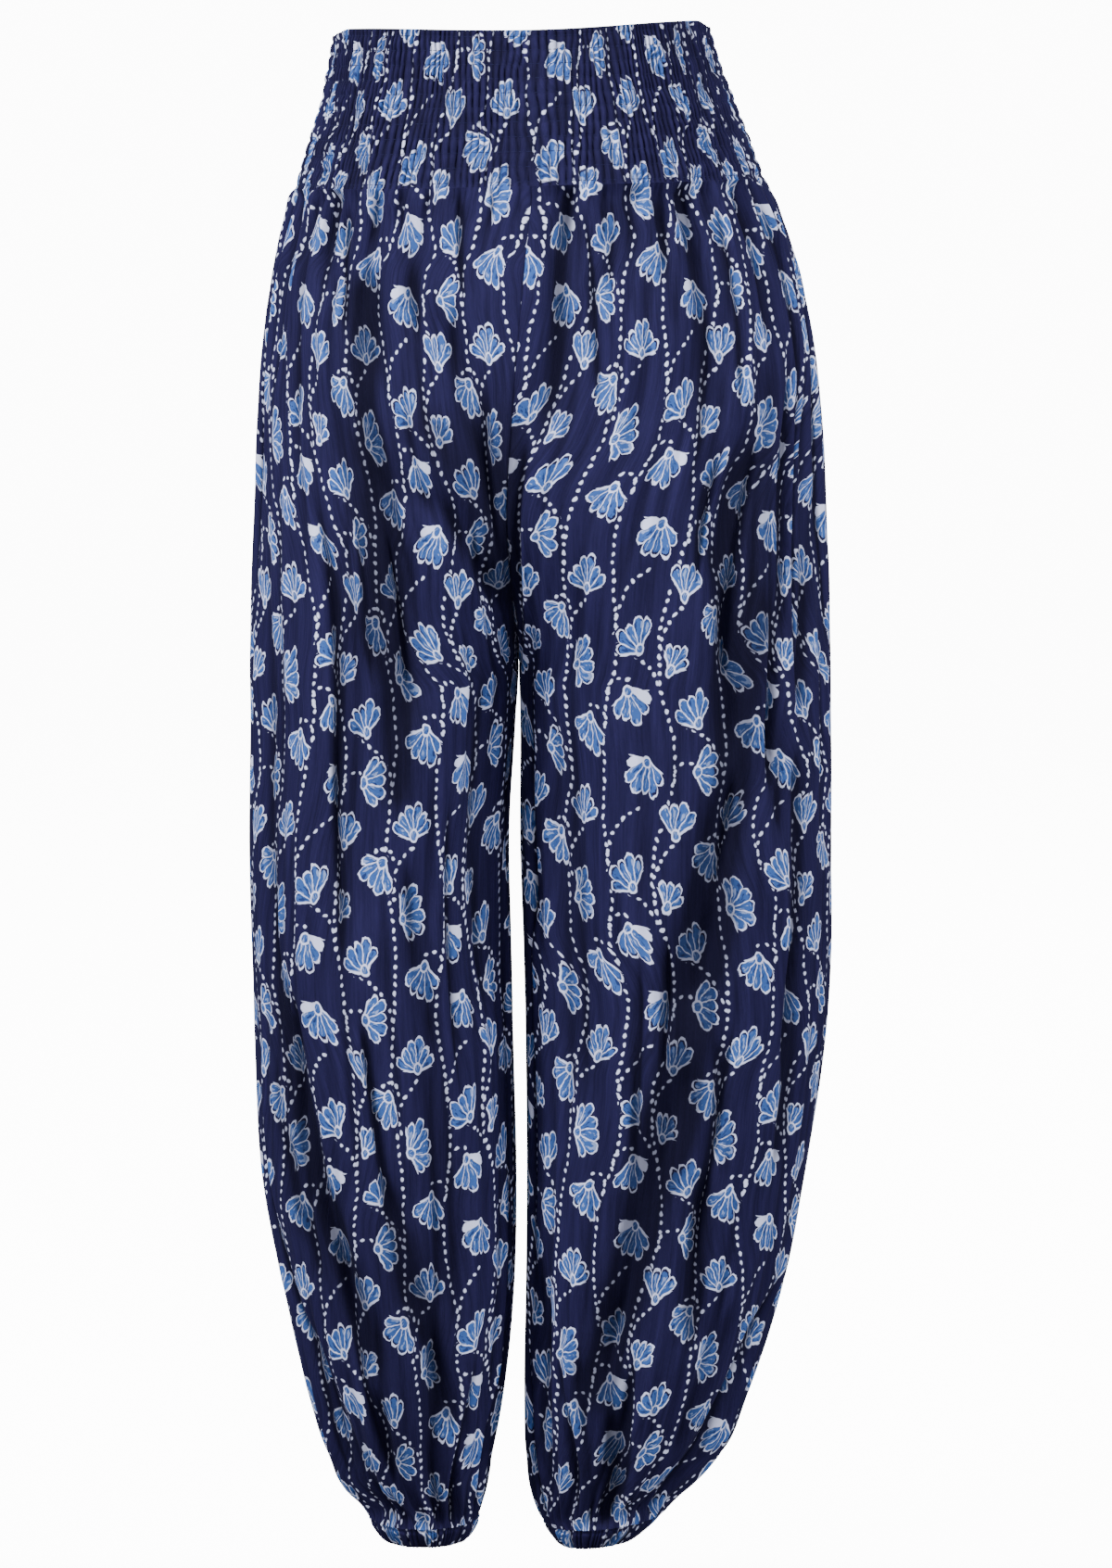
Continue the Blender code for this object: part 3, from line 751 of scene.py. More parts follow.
# %% Socket class
class Socket:
    """A node's output, or a number, that sums with others by making Math nodes."""

    def __init__(self, tree, source):
        self.tree, self.source = tree, source

    def node(self, kind, inputs, output=0, **settings):
        """Any node: its settings, then its inputs by place or name."""
        made = self.tree.nodes.new(kind)
        for key, value in settings.items():
            setattr(made, key, value)
        for key, value in inputs.items():
            value = value.source if isinstance(value, Socket) else value
            if isinstance(value, bpy.types.NodeSocket):
                self.tree.links.new(value, made.inputs[key])
            else:
                made.inputs[key].default_value = value
        return Socket(self.tree, made.outputs[output])

    def sum(self, operation, *others):
        """A Math node on this number and others."""
        return self.node("ShaderNodeMath", dict(enumerate((self, *others))), operation=operation)

    def vector(self, operation, *others, output=0, **named):
        """A Vector Math node on this place and others."""
        inputs = {**dict(enumerate((self, *others))), **named}
        return self.node("ShaderNodeVectorMath", inputs, output, operation=operation)

    def __add__(self, other):
        return self.sum("ADD", other)

    def __sub__(self, other):
        return self.sum("SUBTRACT", other)

    def __rsub__(self, other):
        return self.like(other).sum("SUBTRACT", self)

    def __mul__(self, other):
        return self.sum("MULTIPLY", other)

    __radd__, __rmul__ = __add__, __mul__

    def __truediv__(self, other):
        return self.sum("DIVIDE", other)

    def __neg__(self):
        return self * -1.0

    def __lt__(self, other):
        return self.sum("LESS_THAN", other)

    def like(self, value):
        """A plain number as a socket source."""
        return Socket(self.tree, float(value))

    def min(self, other):
        return self.sum("MINIMUM", other)

    def max(self, other):
        return self.sum("MAXIMUM", other)

    def below(self, edge, soft=0.3):
        """1 where the value is under edge and 0 above it, with a soft step."""
        inputs = {0: self, 1: edge - soft, 2: edge + soft, 3: 1.0, 4: 0.0}
        return self.node("ShaderNodeMapRange", inputs, interpolation_type="SMOOTHSTEP")

    def above(self, edge, soft=0.3):
        """The other way round: 1 where the value is over edge."""
        inputs = {0: self, 1: edge - soft, 2: edge + soft, 3: 0.0, 4: 1.0}
        return self.node("ShaderNodeMapRange", inputs, interpolation_type="SMOOTHSTEP")

    def noise(self, scale, detail=1.0, output=0):
        """Blender's noise at this place, in waves per unit."""
        inputs = {"Vector": self, "Scale": scale, "Detail": detail}
        return self.node("ShaderNodeTexNoise", inputs, output)

    def parts(self, count=2):
        """The first two numbers of a vector, or three."""
        made = self.tree.nodes.new("ShaderNodeSeparateXYZ")
        self.tree.links.new(self.source, made.inputs[0])
        return [Socket(self.tree, out) for out in made.outputs[:count]]

    def join(self, x, y, z=0.0):
        """A place from its numbers."""
        return self.node("ShaderNodeCombineXYZ", {0: x, 1: y, 2: z})

    def mix(self, factor, first, second, kind="RGBA"):
        """The first value or colour where factor is 0 and the second where it is 1."""
        a, b, out = {"FLOAT": (2, 3, 0), "VECTOR": (4, 5, 1), "RGBA": (6, 7, 2)}[kind]
        return self.node("ShaderNodeMix", {0: factor, a: first, b: second}, out, data_type=kind)

    def pick(self, factor, other, kind="RGBA"):
        """This value where factor is 0 and the other where it is 1."""
        return self.mix(factor, self, other, kind)


# %% [markdown]
# ## The print: flowers
# The cotton has fan flowers in light blue with a hand-drawn white outline. They are an
# ordinary flower motif, charted here afresh. A repeat is 120 mm wide and 151 mm tall with
# eleven flowers, each a row: its place, the way that it opens, its number of petals, its
# reach from the base, and which petal is solid white, or -1. The nodes find the nearest
# flower, turn to its own directions and draw one fan in polar coordinates, so the fan's
# nodes exist only once. Every flower is drawn narrow and tall, whichever way it opens.

# %% Flower chart
REPEAT = (120.0, 151.0)
HALF_REPEAT = (REPEAT[0] / 2, REPEAT[1] / 2, 1.0)
SQUEEZE = (1.32, 1.02, 0.0)
FLOWER_COLUMNS = ("x", "y", "turn", "petals", "reach", "solid")
FLOWERS = (
    (15, 46, -90, 6, 24, -1),
    (14, 104, -18, 6, 26, -1),
    (24, 147, 105, 5, 25, -1),
    (62, 20, 112, 6, 26, 5),
    (52, 86, -125, 5, 25, -1),
    (86, 51, -80, 4, 25, -1),
    (82, 98, -60, 4, 21, -1),
    (106, 18, 0, 5, 23, -1),
    (110, 76, 130, 5, 24, -1),
    (56, 126, 70, 5, 25, 0),
    (98, 131, -110, 5, 24, -1),
)


def from_nearest(flat, x, y):
    """The way from x, y to each place, in the repeat where it is shortest."""
    low = tuple(-half for half in HALF_REPEAT)
    return flat.vector("SUBTRACT", (x, y, 0.0)).vector("WRAP", HALF_REPEAT, low)


def nearest_flower(flat):
    """Place relative to the nearest flower, its numbers and whether a petal is solid. Each
    row's distance is taken round the repeat and the least one wins."""
    best = None
    for row in FLOWERS:
        flower = dict(zip(FLOWER_COLUMNS, row))
        here = from_nearest(flat, flower["x"], flower["y"]).vector("MULTIPLY", SQUEEZE)
        far = here.vector("LENGTH", output=1)
        own = (radians(flower["turn"]), flower["petals"], flower["reach"])
        if best is None:
            best, place, numbers, solid = far, here, own, float(flower["solid"])
            continue
        closer = far < best
        place = place.pick(closer, here, "VECTOR")
        numbers = flat.mix(closer, numbers, own, "VECTOR")
        solid = flat.mix(closer, solid, float(flower["solid"]), "FLOAT")
        best = best.min(far)
    return place, numbers, solid


each_way = (REPEAT[0] * REPEAT[1] / len(FLOWERS)) ** 0.5
print("flowers in a repeat:", len(FLOWERS), "one to", round(each_way), "mm each way")

# %% [markdown]
# One fan: petals spread from a small curl. Across a petal the edge bulges, so the outline is
# scalloped. The blue lies inside the white line, has strokes of white and navy along the
# petals and leaves a navy gap to the line here and there, as a block print does.

# %% One fan
PETAL = radians(25)
BASE_BACK = 10.5
PETAL_BULGE, BULGE_POWER, SIDE_DROP = 0.17, 2.6, 3.4
SIDE_LINE, RIM_LINE, END_LINE = 0.52, 1.8, 0.9
CURL_PLACE, CURL_RADIUS, EYE_RADIUS, CURL_ROOM = (2.4, 0.6), 4.3, 2.7, 6.2


def draw_fan(place, numbers, solid, rough, patchy):
    """Masks of a flower: its white, its blue, pale strokes, dark strokes and its room."""
    spread = numbers.node("ShaderNodeSeparateXYZ", {0: numbers})
    turn, petals, reach = [Socket(place.tree, out) for out in spread.source.node.outputs]
    turned = {"Vector": place, "Angle": -turn}
    x, y = place.node("ShaderNodeVectorRotate", turned, rotation_type="Z_AXIS").parts()
    x = x + BASE_BACK
    r = (x * x + y * y).sum("SQRT")
    angle = y.sum("ARCTAN2", x)
    count = angle / PETAL + petals * 0.5
    petal = count.sum("FLOOR")
    across = ((count - petal - 0.5) * 2.0).sum("ABSOLUTE")
    uneven = (petal * 2.3 + turn * 3.0).sum("SINE")
    bulge = 1.0 - PETAL_BULGE * across.sum("POWER", BULGE_POWER)
    edge = reach * bulge * (1.0 + 0.08 * uneven) - angle * angle * SIDE_DROP + rough * 1.1
    rim = edge - r
    end_side = (petals * (0.5 * PETAL) - angle.sum("ABSOLUTE")) * r
    side = r.max(10.0) * (((1.0 - across) * (PETAL / 2)).sum("SINE")) + rough * 0.45
    curl_x, curl_y = x - CURL_PLACE[0], y - CURL_PLACE[1]
    curl = (curl_x * curl_x + curl_y * curl_y).sum("SQRT") + rough * 0.5
    body = rim.above(0.0) * end_side.above(-0.8)
    line = side.below(SIDE_LINE).max(rim.below(RIM_LINE)).max(end_side.below(END_LINE))
    lobe = (petal - solid).sum("ABSOLUTE") < 0.5
    ring = curl.below(CURL_RADIUS)
    eye = curl.below(EYE_RADIUS)
    white = (body * line.max(lobe) * (1.0 - eye)).max(ring * (1.0 - eye))
    gap = rim.below(3.5) * patchy.above(0.54, 0.04)
    blue = (body * (1.0 - line) * (1.0 - lobe) * (1.0 - gap) * (1.0 - ring)).max(eye)
    stroke = place.join(angle * 7.0, r * 0.13, turn).noise(1.0, 2.0)
    room = rim.above(-2.2) * end_side.above(-2.4)
    return white, blue, stroke, room.max(curl.below(CURL_ROOM))


# %% [markdown]
# ## The print: dotted stems
# Rows of oval white dots run down the cloth as stems, fork in Ys and arch over to the
# flowers. Stems are sine lines, and a branch is an arc of a circle from one place to
# another. Snapping the place along a line to the dots' pitch gives the nearest dot's
# centre, and the distance from it draws a dot that is longer along the line.

# %% Stem and branch charts
DOT_PITCH = REPEAT[1] / 26
DOT_RADIUS, DOT_LENGTH = 1.10, 0.72
STEM_COLUMNS = ("x", "sway", "phase")
STEMS = ((37, 4, 200), (77, 7, 66), (119.5, 3, 120))
BRANCH_COLUMNS = ("x1", "y1", "x2", "y2", "bulge")
BRANCHES = (
    (58, 42, 38, 71, -4),
    (38, 141, 26, 131, -5),
    (60, 100, 77, 125, 3),
    (83, 66, 71, 91, -3),
    (121, 68, 110, 62, -4),
    (103, 146, 119, 171, 3),
    (84, 24, 96, 13, 5),
    (14, 62, 1, 88, -4),
    (40, 121, 52, 111, 5),
)


def arc_through(x1, y1, x2, y2, bulge):
    """Centre, radius, start and span of the arc from one place to another that rises by
    bulge over its chord. Its radius is a quarter chord squared plus bulge squared, over
    twice the bulge."""
    first, last = np.array((x1, y1), float), np.array((x2, y2), float)
    chord = np.linalg.norm(last - first)
    radius = (chord**2 / 4 + bulge**2) / (2 * abs(bulge))
    across = np.array((last[1] - first[1], first[0] - last[0])) / chord * np.sign(bulge)
    centre = (first + last) / 2 - across * (radius - abs(bulge))
    angles = [np.arctan2(*(end - centre)[::-1]) for end in (first, last)]
    span = (angles[1] - angles[0] + pi) % (2 * pi) - pi
    start = angles[0] if span > 0 else angles[1]
    return centre, radius, start, abs(span)


def draw_dots(flat, rough):
    """The least distance to any dot of any stem or branch."""
    x, y = flat.parts()
    nearest = None
    row = (y / DOT_PITCH).sum("FLOOR") * DOT_PITCH + DOT_PITCH / 2
    along = ((y - row) * DOT_LENGTH).sum("POWER", 2.0)
    for at, sway, phase in STEMS:
        line = (row * (2 * pi / REPEAT[1]) + radians(phase)).sum("SINE") * sway + at
        away = (x - line).sum("WRAP", HALF_REPEAT[0], -HALF_REPEAT[0])
        dot = away * away + along
        nearest = dot if nearest is None else nearest.min(dot)
    for branch in BRANCHES:
        centre, radius, start, span = arc_through(*branch)
        half_way = start + span / 2
        middle = centre + radius * np.array((np.cos(half_way), np.sin(half_way)))
        here = from_nearest(flat, *middle).vector("ADD", (*(middle - centre), 0.0))
        hx, hy = here.parts()
        step = span / round(span * radius / DOT_PITCH)
        around = (hy.sum("ARCTAN2", hx) - start).sum("WRAP", 2 * pi - 0.3, -0.3)
        snapped = (around / step + 0.5).sum("FLOOR").min(round(span / step) + 0.0) * step
        along = ((around - snapped) * (radius * DOT_LENGTH)).sum("POWER", 2.0)
        away = (hx * hx + hy * hy).sum("SQRT") - radius
        nearest = nearest.min(away * away + along)
    return nearest.sum("SQRT") + rough * 0.4


# %% [markdown]
# ## Printed cotton
# The ground is a saturated navy on a thin plain weave with a soft sheen. A good cotton is
# more than its colour: the weave is a fine bump of two crossing waves, and the crinkles that
# washing leaves are noise drawn out along the warp. The same noise streaks the colour lighter
# and darker: partly uneven dye, partly painted light and shade of the crinkles and the hanging
# ribbons. The hollow attribute draws the colour towards a near-black navy: painted shade in
# the folds, gathers and troughs, beside the fork and on the inner skin. The wrong side has
# the same cloth with the print showing through only faintly.

# %% Cotton material
NAVY = (0.0182, 0.0158, 0.067, 1.0)
NAVY_DEEP = (0.0078, 0.0070, 0.031, 1.0)
# SHADOW is the near-black navy of the painted shade in folds, gathers and troughs
SHADOW = (0.0013, 0.0013, 0.0060, 1.0)
WHITE = (0.68, 0.72, 1.0, 1.0)
BLUE = (0.046, 0.108, 0.345, 1.0)
BLUE_PALE = (0.30, 0.39, 0.68, 1.0)
BLUE_DARK = (0.016, 0.026, 0.108, 1.0)


def new_material(name):
    """A material, with its shader and a first socket to build on."""
    material = bpy.data.materials.new(name)
    material.use_nodes = True
    tree = material.node_tree
    return material, tree.nodes["Principled BSDF"], Socket(tree, None)


def feed(shader, sockets, numbers):
    """Links what varies over the surface and sets what is the same all over it."""
    for name, socket in sockets.items():
        socket.tree.links.new(socket.source, shader.inputs[name])
    for name, number in numbers.items():
        shader.inputs[name].default_value = number


STROKE_EDGES = (0.39, 0.60)
PAINTED_SHADE_SHARE = 0.77
THREAD = 0.55
COTTON_FEEL = {
    "Sheen Weight": 0.015,
    "Sheen Roughness": 0.45,
    "Sheen Tint": (0.40, 0.42, 1.0, 1.0),
    "Specular IOR Level": 0.06,
}


def cotton(name, shift, strength=1.0, crinkle=1.0):
    """Printed cotton. shift moves the print on this piece, strength is how clear it is."""
    material, shader, start = new_material(name)
    uv = start.node("ShaderNodeUVMap", {}, uv_map="cloth")
    mm = uv.vector("SCALE", Scale=1000.0).vector("ADD", (shift[0], shift[1], 0.0))
    wobble = mm.noise(0.11, 2.0, 1).vector("SUBTRACT", (0.5, 0.5, 0.5))
    flat = mm.vector("ADD", wobble.vector("SCALE", Scale=4.2)).vector("MULTIPLY", (1.0, 1.0, 0.0))
    rough = mm.noise(0.42, 1.0) * 2.0 - 1.0
    patches = mm.noise(0.05, 2.0)
    white, blue, stroke, room = draw_fan(*nearest_flower(flat), rough, patches)
    dots = draw_dots(flat, rough).below(DOT_RADIUS) * (1.0 - room)
    x, y = mm.parts()
    streaks = start.join(x * 0.9, y * 0.035).noise(1.0, 3.0)
    broad = start.join(x * 0.22, y * 0.013).noise(1.0, 2.0)
    # lighter and darker streaks of the ground: partly uneven dye, partly painted light and shade of
    # the crinkles and hanging ribbons
    dye_and_painted_shading = (broad * 0.6 + streaks * 0.4) * 2.6 - 0.8
    ground = start.mix(dye_and_painted_shading, NAVY_DEEP, NAVY)
    petal = start.mix(stroke.below(STROKE_EDGES[0], 0.03) * 0.85, BLUE, BLUE_DARK)
    petal = petal.pick(stroke.above(STROKE_EDGES[1], 0.03) * 0.8, BLUE_PALE)
    colour = ground.pick(white.max(dots) * strength, WHITE).pick(blue * strength, petal)
    # painted shade: the hollow attribute draws the colour towards SHADOW in folds, gathers,
    # troughs, beside the fork and on the inner skin
    hollow = start.node("ShaderNodeAttribute", {}, 2, attribute_name="hollow")
    colour = colour.pick(hollow * PAINTED_SHADE_SHARE, SHADOW)
    weave = (x * (2 * pi / THREAD)).sum("SINE") * (y * (2 * pi / THREAD)).sum("SINE")
    height = weave * 0.05 + streaks * 1.1 * crinkle + mm.noise(0.8, 2.0) * 0.25
    bump = start.node("ShaderNodeBump", {"Strength": 0.55, "Distance": 0.0011, "Height": height})
    varying = {"Base Color": colour, "Normal": bump, "Roughness": 0.82 - streaks * 0.12}
    feed(shader, varying, COTTON_FEEL)
    print(name, "has", len(material.node_tree.nodes), "nodes")
    return material


inside_cotton = cotton("cotton_wrong_side", (0, 0), 0.28)

# %% [markdown]
# ## Leg panels
# A maker cuts a front and a back for each leg and sews them at the side and the inseam. The
# grid is made for a whole leg, so that the creases and the normals run on over the seams,
# and is then parted at the side seam. The shifts let the print run on from the band, whose
# cloth is the same. Lower down the panels widen, so it breaks at the seams, as sewn cloth
# does. A narrow groove marks each seam. Above the fork the two legs' skins meet on the
# plane between them, and below it each keeps to its own side of the gap.

# %% Build the legs
PANEL_COLUMNS = 250
GROOVE_WIDTH, GROOVE_DEPTH = 1.8, 1.3
ROW_STEPS = ((-53, -123, 24), (-123, -842, 84), (-842, -922, 26))
PANEL_STARTS = {"front": 0, "back": PANEL_COLUMNS}
PRINT_SHIFTS = {
    "leg_right_front": (828, 99),
    "leg_left_front": (1168, 99),
    "leg_right_back": (488, 99),
    "leg_left_back": (148, 99),
}


def row_heights():
    """Heights of the panels' rows, close together at the gathers."""
    parts = [np.linspace(top, bottom, count, endpoint=False) for top, bottom, count in ROW_STEPS]
    return np.concatenate([*parts, [HEM_SEAM]])


def level_edge(points, row, side, height):
    """Put one row of points on its seam's plane."""
    points[row, :, 2] = height + lift(side, points[row, :, 0], height)


def fork_shade(side, z, from_middle):
    """The painted shade beside the fork, where the cloth folds away. It is deepest 258 mm under
    the waist's line, and reaches a little further from the middle on the right leg."""
    reach = 20 if side > 0 else 12 + 20 * ease((z + 430) / 110)
    near = ease(1 - from_middle / reach) * ease((-140 - z) / 80) * ease((z + 640) / 260)
    return near * (0.62 + 0.38 * bell(z + 258, 75))


def seam_grooves(t, width, below_band):
    """Millimetres out at the side seam and at the middle seams: a narrow groove on each."""
    grooves = sum(bell((np.abs(t) - seam) * width, GROOVE_WIDTH) for seam in (0, 1))
    return -GROOVE_DEPTH * grooves * ease(below_band / 6)


def join_gathers(moves, side, z, t):
    """Near the band and the casing the moves give way to the gathers of those pieces, so
    that the cloth meets them at the seams."""
    band = BAND_HEIGHT / 2 * band_wave(leg_turn(side, t), z) + 0.3
    casing = CASING_HEIGHT * casing_wave(side, hem_turn(side, t), z) + 0.1
    off_band, off_hem = ease((WAIST_SEAM - z) / 5), ease((z - HEM_SEAM) / 5)
    moves = off_band * moves + (1 - off_band) * band
    return off_hem * moves + (1 - off_hem) * casing


def inner_edge(side, z):
    """How far to its own side a leg's cloth has to stay: off the middle plane above the
    fork, and below it off its own sections' inner edge, with 0.3 mm to spare."""
    middle = (section("right_inner", z) + section("left_inner", z)) / 2
    own = section("left_inner" if side > 0 else "right_inner", z)
    return side * (middle + (own - middle) * ease((FORK - z) / 30)) + 0.3 * ease((FORK - z) / 12)


def leg_skins(leg, side, z, t):
    """The outer and inner skin of a whole leg, its smooth form, how far the cloth moves off
    that, the print that pleats skip and the painted shade in the hollows, folds and troughs."""
    form = leg_surface(side, z, t)
    forked = z[:, 0] <= FORK
    width = panel_width(side, z, t)
    from_middle = (1 - np.abs(t)) * width
    to_centre = ease(from_middle / 16)
    kept = to_centre + (1 - to_centre) * ease((FORK - z) / 60)
    folds, fold_shade = fold_moves(leg, side, z, t)
    creases, skipped, crease_shade = crease_moves(leg, side, z, t)
    moves = (folds + creases + wide_gathers(side, z, t) + hanging_waves(side, z, t)) * kept
    moves = moves + fine_gathers(side, z, t) + seam_grooves(t, width, WAIST_SEAM - z)
    moves = join_gathers(moves, side, z, t)
    outer = form + side * outward(form, forked) * moves[..., None]
    level_edge(outer, 0, side, WAIST_SEAM)
    level_edge(outer, -1, side, HEM_SEAM)
    # painted shade, summed from the hollows, creases, folds, deepest troughs and beside the fork
    shade = hollow_shade(moves, 7, 26) + crease_shade
    shade += fold_shade * (0.4 + 0.6 * ease((-120 - z) / 150))
    shade += shadow_shade(leg, side, z, t) + fork_shade(side, z, from_middle)
    edge = inner_edge(side, z)
    outer[..., 0] = side * np.maximum(side * outer[..., 0], edge)
    inner = outer - side * outward(outer, forked) * CLOTH
    inner[..., 0] = side * np.maximum(side * inner[..., 0], edge)
    closed = bell(from_middle, 1.6) * (z > FORK)
    for skin in (outer, inner):
        skin[..., 0] += closed * (side * edge - skin[..., 0])
    return outer, inner, form, moves, skipped, np.clip(shade, 0, 1)


def build_leg(leg, side):
    """A leg's two panels, cut from the whole leg's grid at the side seam."""
    turns = np.linspace(-1, 1, 2 * PANEL_COLUMNS + 1)
    z, t = np.meshgrid(row_heights(), turns, indexing="ij")
    outer, inner, form, moves, skipped, shade = leg_skins(leg, side, z, t)
    wave = band_wave(leg_turn(side, t), z)
    for part, first in PANEL_STARTS.items():
        name = f"{leg}_{part}"
        cut = slice(first, first + PANEL_COLUMNS + 1)
        grids = (outer, form, moves, skipped, z, wave)
        flat = flat_places(*(grid[:, cut] for grid in grids))
        flat[..., 0] *= side
        cloths = (cotton(f"{name}_print", PRINT_SHIFTS[name]), inside_cotton)
        skins = (outer[:, cut], inner[:, cut])
        piece = make_shell(f"{name}_cloth", *skins, flat, shade[:, cut], cloths, side < 0)
        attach(piece, "root")
        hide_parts(name)


build_leg("leg_right", -1)
build_leg("leg_left", 1)

# %% [markdown]
# ## Waistband
# The band is the same cotton drawn up by eleven rows of elastic thread about 9 mm apart.
# Sharp valleys, darkened with painted shade, run down between rounded crests, and each row
# of elastic pinches them.
# A bump map alone would look flat at the edges, so the gathers are real points.

# %% Waistband
SHIRR_ROWS = 11
SHIRR_TOP, SHIRR_PITCH = 41.5, 9.2
BAND_COLUMNS = 1060
BAND_FLAT = 1.36
BROAD_HEIGHT, BAND_SINK = 0.7, 0.8
PINCH_WIDTH, PINCH_SHARE, PINCH_DEPTH = 0.16, 0.30, 0.45


def ring_points(centre, half, depth, turn, out):
    """x and y on a rounded ellipse at turn, moved out along its own normal, which is the
    cosine over the half width and the sine over the depth, made one long."""
    cosine, sine = rounded(np.cos(turn)), rounded(np.sin(turn))
    away = np.stack([cosine / half, sine / depth], axis=-1)
    away = away / np.linalg.norm(away, axis=-1, keepdims=True)
    return centre + half * cosine + away[..., 0] * out, depth * sine + away[..., 1] * out


def ring_grid(rows, columns):
    """Heights and turns of a whole ring's grid, whose last column repeats the first."""
    return np.meshgrid(rows, 2 * pi * np.arange(columns + 1) / columns, indexing="ij")


def band_surface(turn, z, raised=0.0):
    """Points of the band at turn, anticlockwise from the left side seam, and height z. Out
    from the rounded section by the gathers, less where a row of elastic pinches them."""
    centre = section("right_inner", z)
    to_left, to_right = section("left_side", z) - centre, centre - section("right_side", z)
    half = np.where(np.cos(turn) > 0, to_left, to_right)
    depth = np.where(np.sin(turn) > 0, section("back", z), section("front", z))
    from_row = ((z - SHIRR_TOP) / SHIRR_PITCH + 0.5) % 1.0 - 0.5
    last_row = SHIRR_TOP - SHIRR_PITCH * (SHIRR_ROWS - 0.5)
    pinch = bell(from_row, PINCH_WIDTH) * (z > last_row)
    wave = band_wave(turn, z)
    broad = 0.5 + 0.5 * np.sin(61 * turn + 2 * np.sin(z / 15))
    out = (BAND_HEIGHT * wave + BROAD_HEIGHT * broad - BAND_SINK) * (1 - PINCH_SHARE * pinch)
    out = out - PINCH_DEPTH * pinch + raised
    out = out * (1 - 0.5 * ease((WAIST_SEAM + 5 - z) / 5))
    x, y = ring_points(centre, half, depth, turn, out)
    height = (z - WAIST_SEAM) / (WAIST_TOP - WAIST_SEAM)
    off_middle = np.abs(np.cos(turn))
    dip = 4 * ease(1 - off_middle) + 4 * ease(10 * off_middle - 9)
    tall = z + lift(0, x, z) - dip * height**3
    return np.stack([x, y, tall], axis=-1), wave


def build_band():
    """The band's shell. Its flat places run round the whole width, most of it hidden in the
    valleys between the gathers."""
    steps = np.arange(SHIRR_ROWS)[:, None] + np.array((-0.22, 0.0, 0.22, 0.5))
    rows = (SHIRR_TOP - SHIRR_PITCH * steps).ravel()[:-1]
    z, turn = ring_grid(np.concatenate([[WAIST_TOP, 44.5], rows, [WAIST_SEAM]]), BAND_COLUMNS)
    outer, wave = band_surface(turn, z)
    inner, _ = band_surface(turn, z, -CLOTH - 0.25)
    flat = np.stack([held_places(wave, BAND_FLAT * 1000, 20), WAIST_TOP - z], axis=-1)
    cloths = (cotton("waistband_print", (-22, 0)), inside_cotton)
    # painted shade in the valleys between the gathers
    hollow = np.clip(1.05 - 1.5 * wave, 0, 1)
    return make_shell("waistband_cloth", outer, inner, flat, hollow, cloths, ring=True)


band = build_band()
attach(band, "root")
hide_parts("waistband")

# %% [markdown]
# ## Elastic hems
# Each leg ends in a narrow casing over elastic, drawn up in gathers 3 mm apart and pulled
# in towards its lower edge. It is a short ring made like the band.

# %% Hem casings
CASING_COLUMNS, CASING_ROWS = 480, 16
CASING_FLAT = 0.40


def casing_surface(side, turn, z, raised=0.0):
    """Points of one casing: the leg's rounded section, drawn in between its two edges, plus
    gathers that a stitch row pinches 2 mm under the seam."""
    centre, half, _, _ = leg_frame(side, z)
    depth = np.where(np.sin(turn) > 0, section("back", z), section("front", z))
    down = (HEM_SEAM - z) / (HEM_SEAM - HEM_BOTTOM)
    wave = casing_wave(side, turn, z)
    pinch = bell(down - 0.14, 0.06)
    roll = np.sqrt(np.clip(1 - (2 * down - 1) ** 2, 0, 1))
    out = CASING_HEIGHT * wave * (1 - 0.35 * pinch) - 0.5 * pinch
    out = out + 0.6 * roll - 0.3 - 3.2 * down**2 + raised
    x, y = ring_points(centre, half, depth, turn, out)
    return np.stack([x, y, z + lift(side, x, z)], axis=-1), wave


def build_casing(name, side, shift):
    """One casing's shell."""
    z, turn = ring_grid(np.linspace(HEM_SEAM, HEM_BOTTOM, CASING_ROWS + 1), CASING_COLUMNS)
    outer, wave = casing_surface(side, turn, z)
    inner, _ = casing_surface(side, turn, z, -CLOTH - 0.2)
    flat = np.stack([held_places(wave, CASING_FLAT * 1000, 8), HEM_SEAM - z], axis=-1)
    cloths = (cotton(f"{name}_print", shift, crinkle=1.4), inside_cotton)
    # painted shade in the valleys between the casing's gathers
    hollow = np.clip(1.0 - 1.4 * wave, 0, 1)
    piece = make_shell(f"{name}_cloth", outer, inner, flat, hollow, cloths, ring=True)
    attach(piece, "root")
    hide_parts(name)


build_casing("hem_casing_right", -1, (40, 20))
build_casing("hem_casing_left", 1, (96, 71))

# %% [markdown]
# ## Stitches
# Each row of shirring shows outside as a line of tiny stitches in navy thread, and one row
# holds each hem casing. A stitch is a short thick thread with four sides that follows the
# cloth. All stitches of a kind are one mesh, worked out as one array.

# %% Stitches
def plain_thread(name, colour):
    """Matte sewing thread with a fine twist as bump."""
    material, shader, start = new_material(name)
    twist = start.node("ShaderNodeTexCoord", {}, 3).noise(2600.0, 1.0)
    shade = start.mix(twist, colour, tuple(1.6 * c for c in colour[:3]) + (1.0,))
    bump = start.node("ShaderNodeBump", {"Strength": 0.5, "Distance": 0.0002, "Height": twist})
    numbers = {"Roughness": 0.8, "Specular IOR Level": 0.15}
    feed(shader, {"Base Color": shade, "Normal": bump}, numbers)
    return material


THREAD_ENDS = np.array([0.35, 1.0, 1.0, 0.35])
STITCH_PLACES = np.array([0.12, 0.36, 0.62, 0.86])


def stitch_turns(count):
    """The turns of each stitch's four points, for count stitches in a ring."""
    return 2 * pi * (np.arange(count)[:, None] + STITCH_PLACES) / count


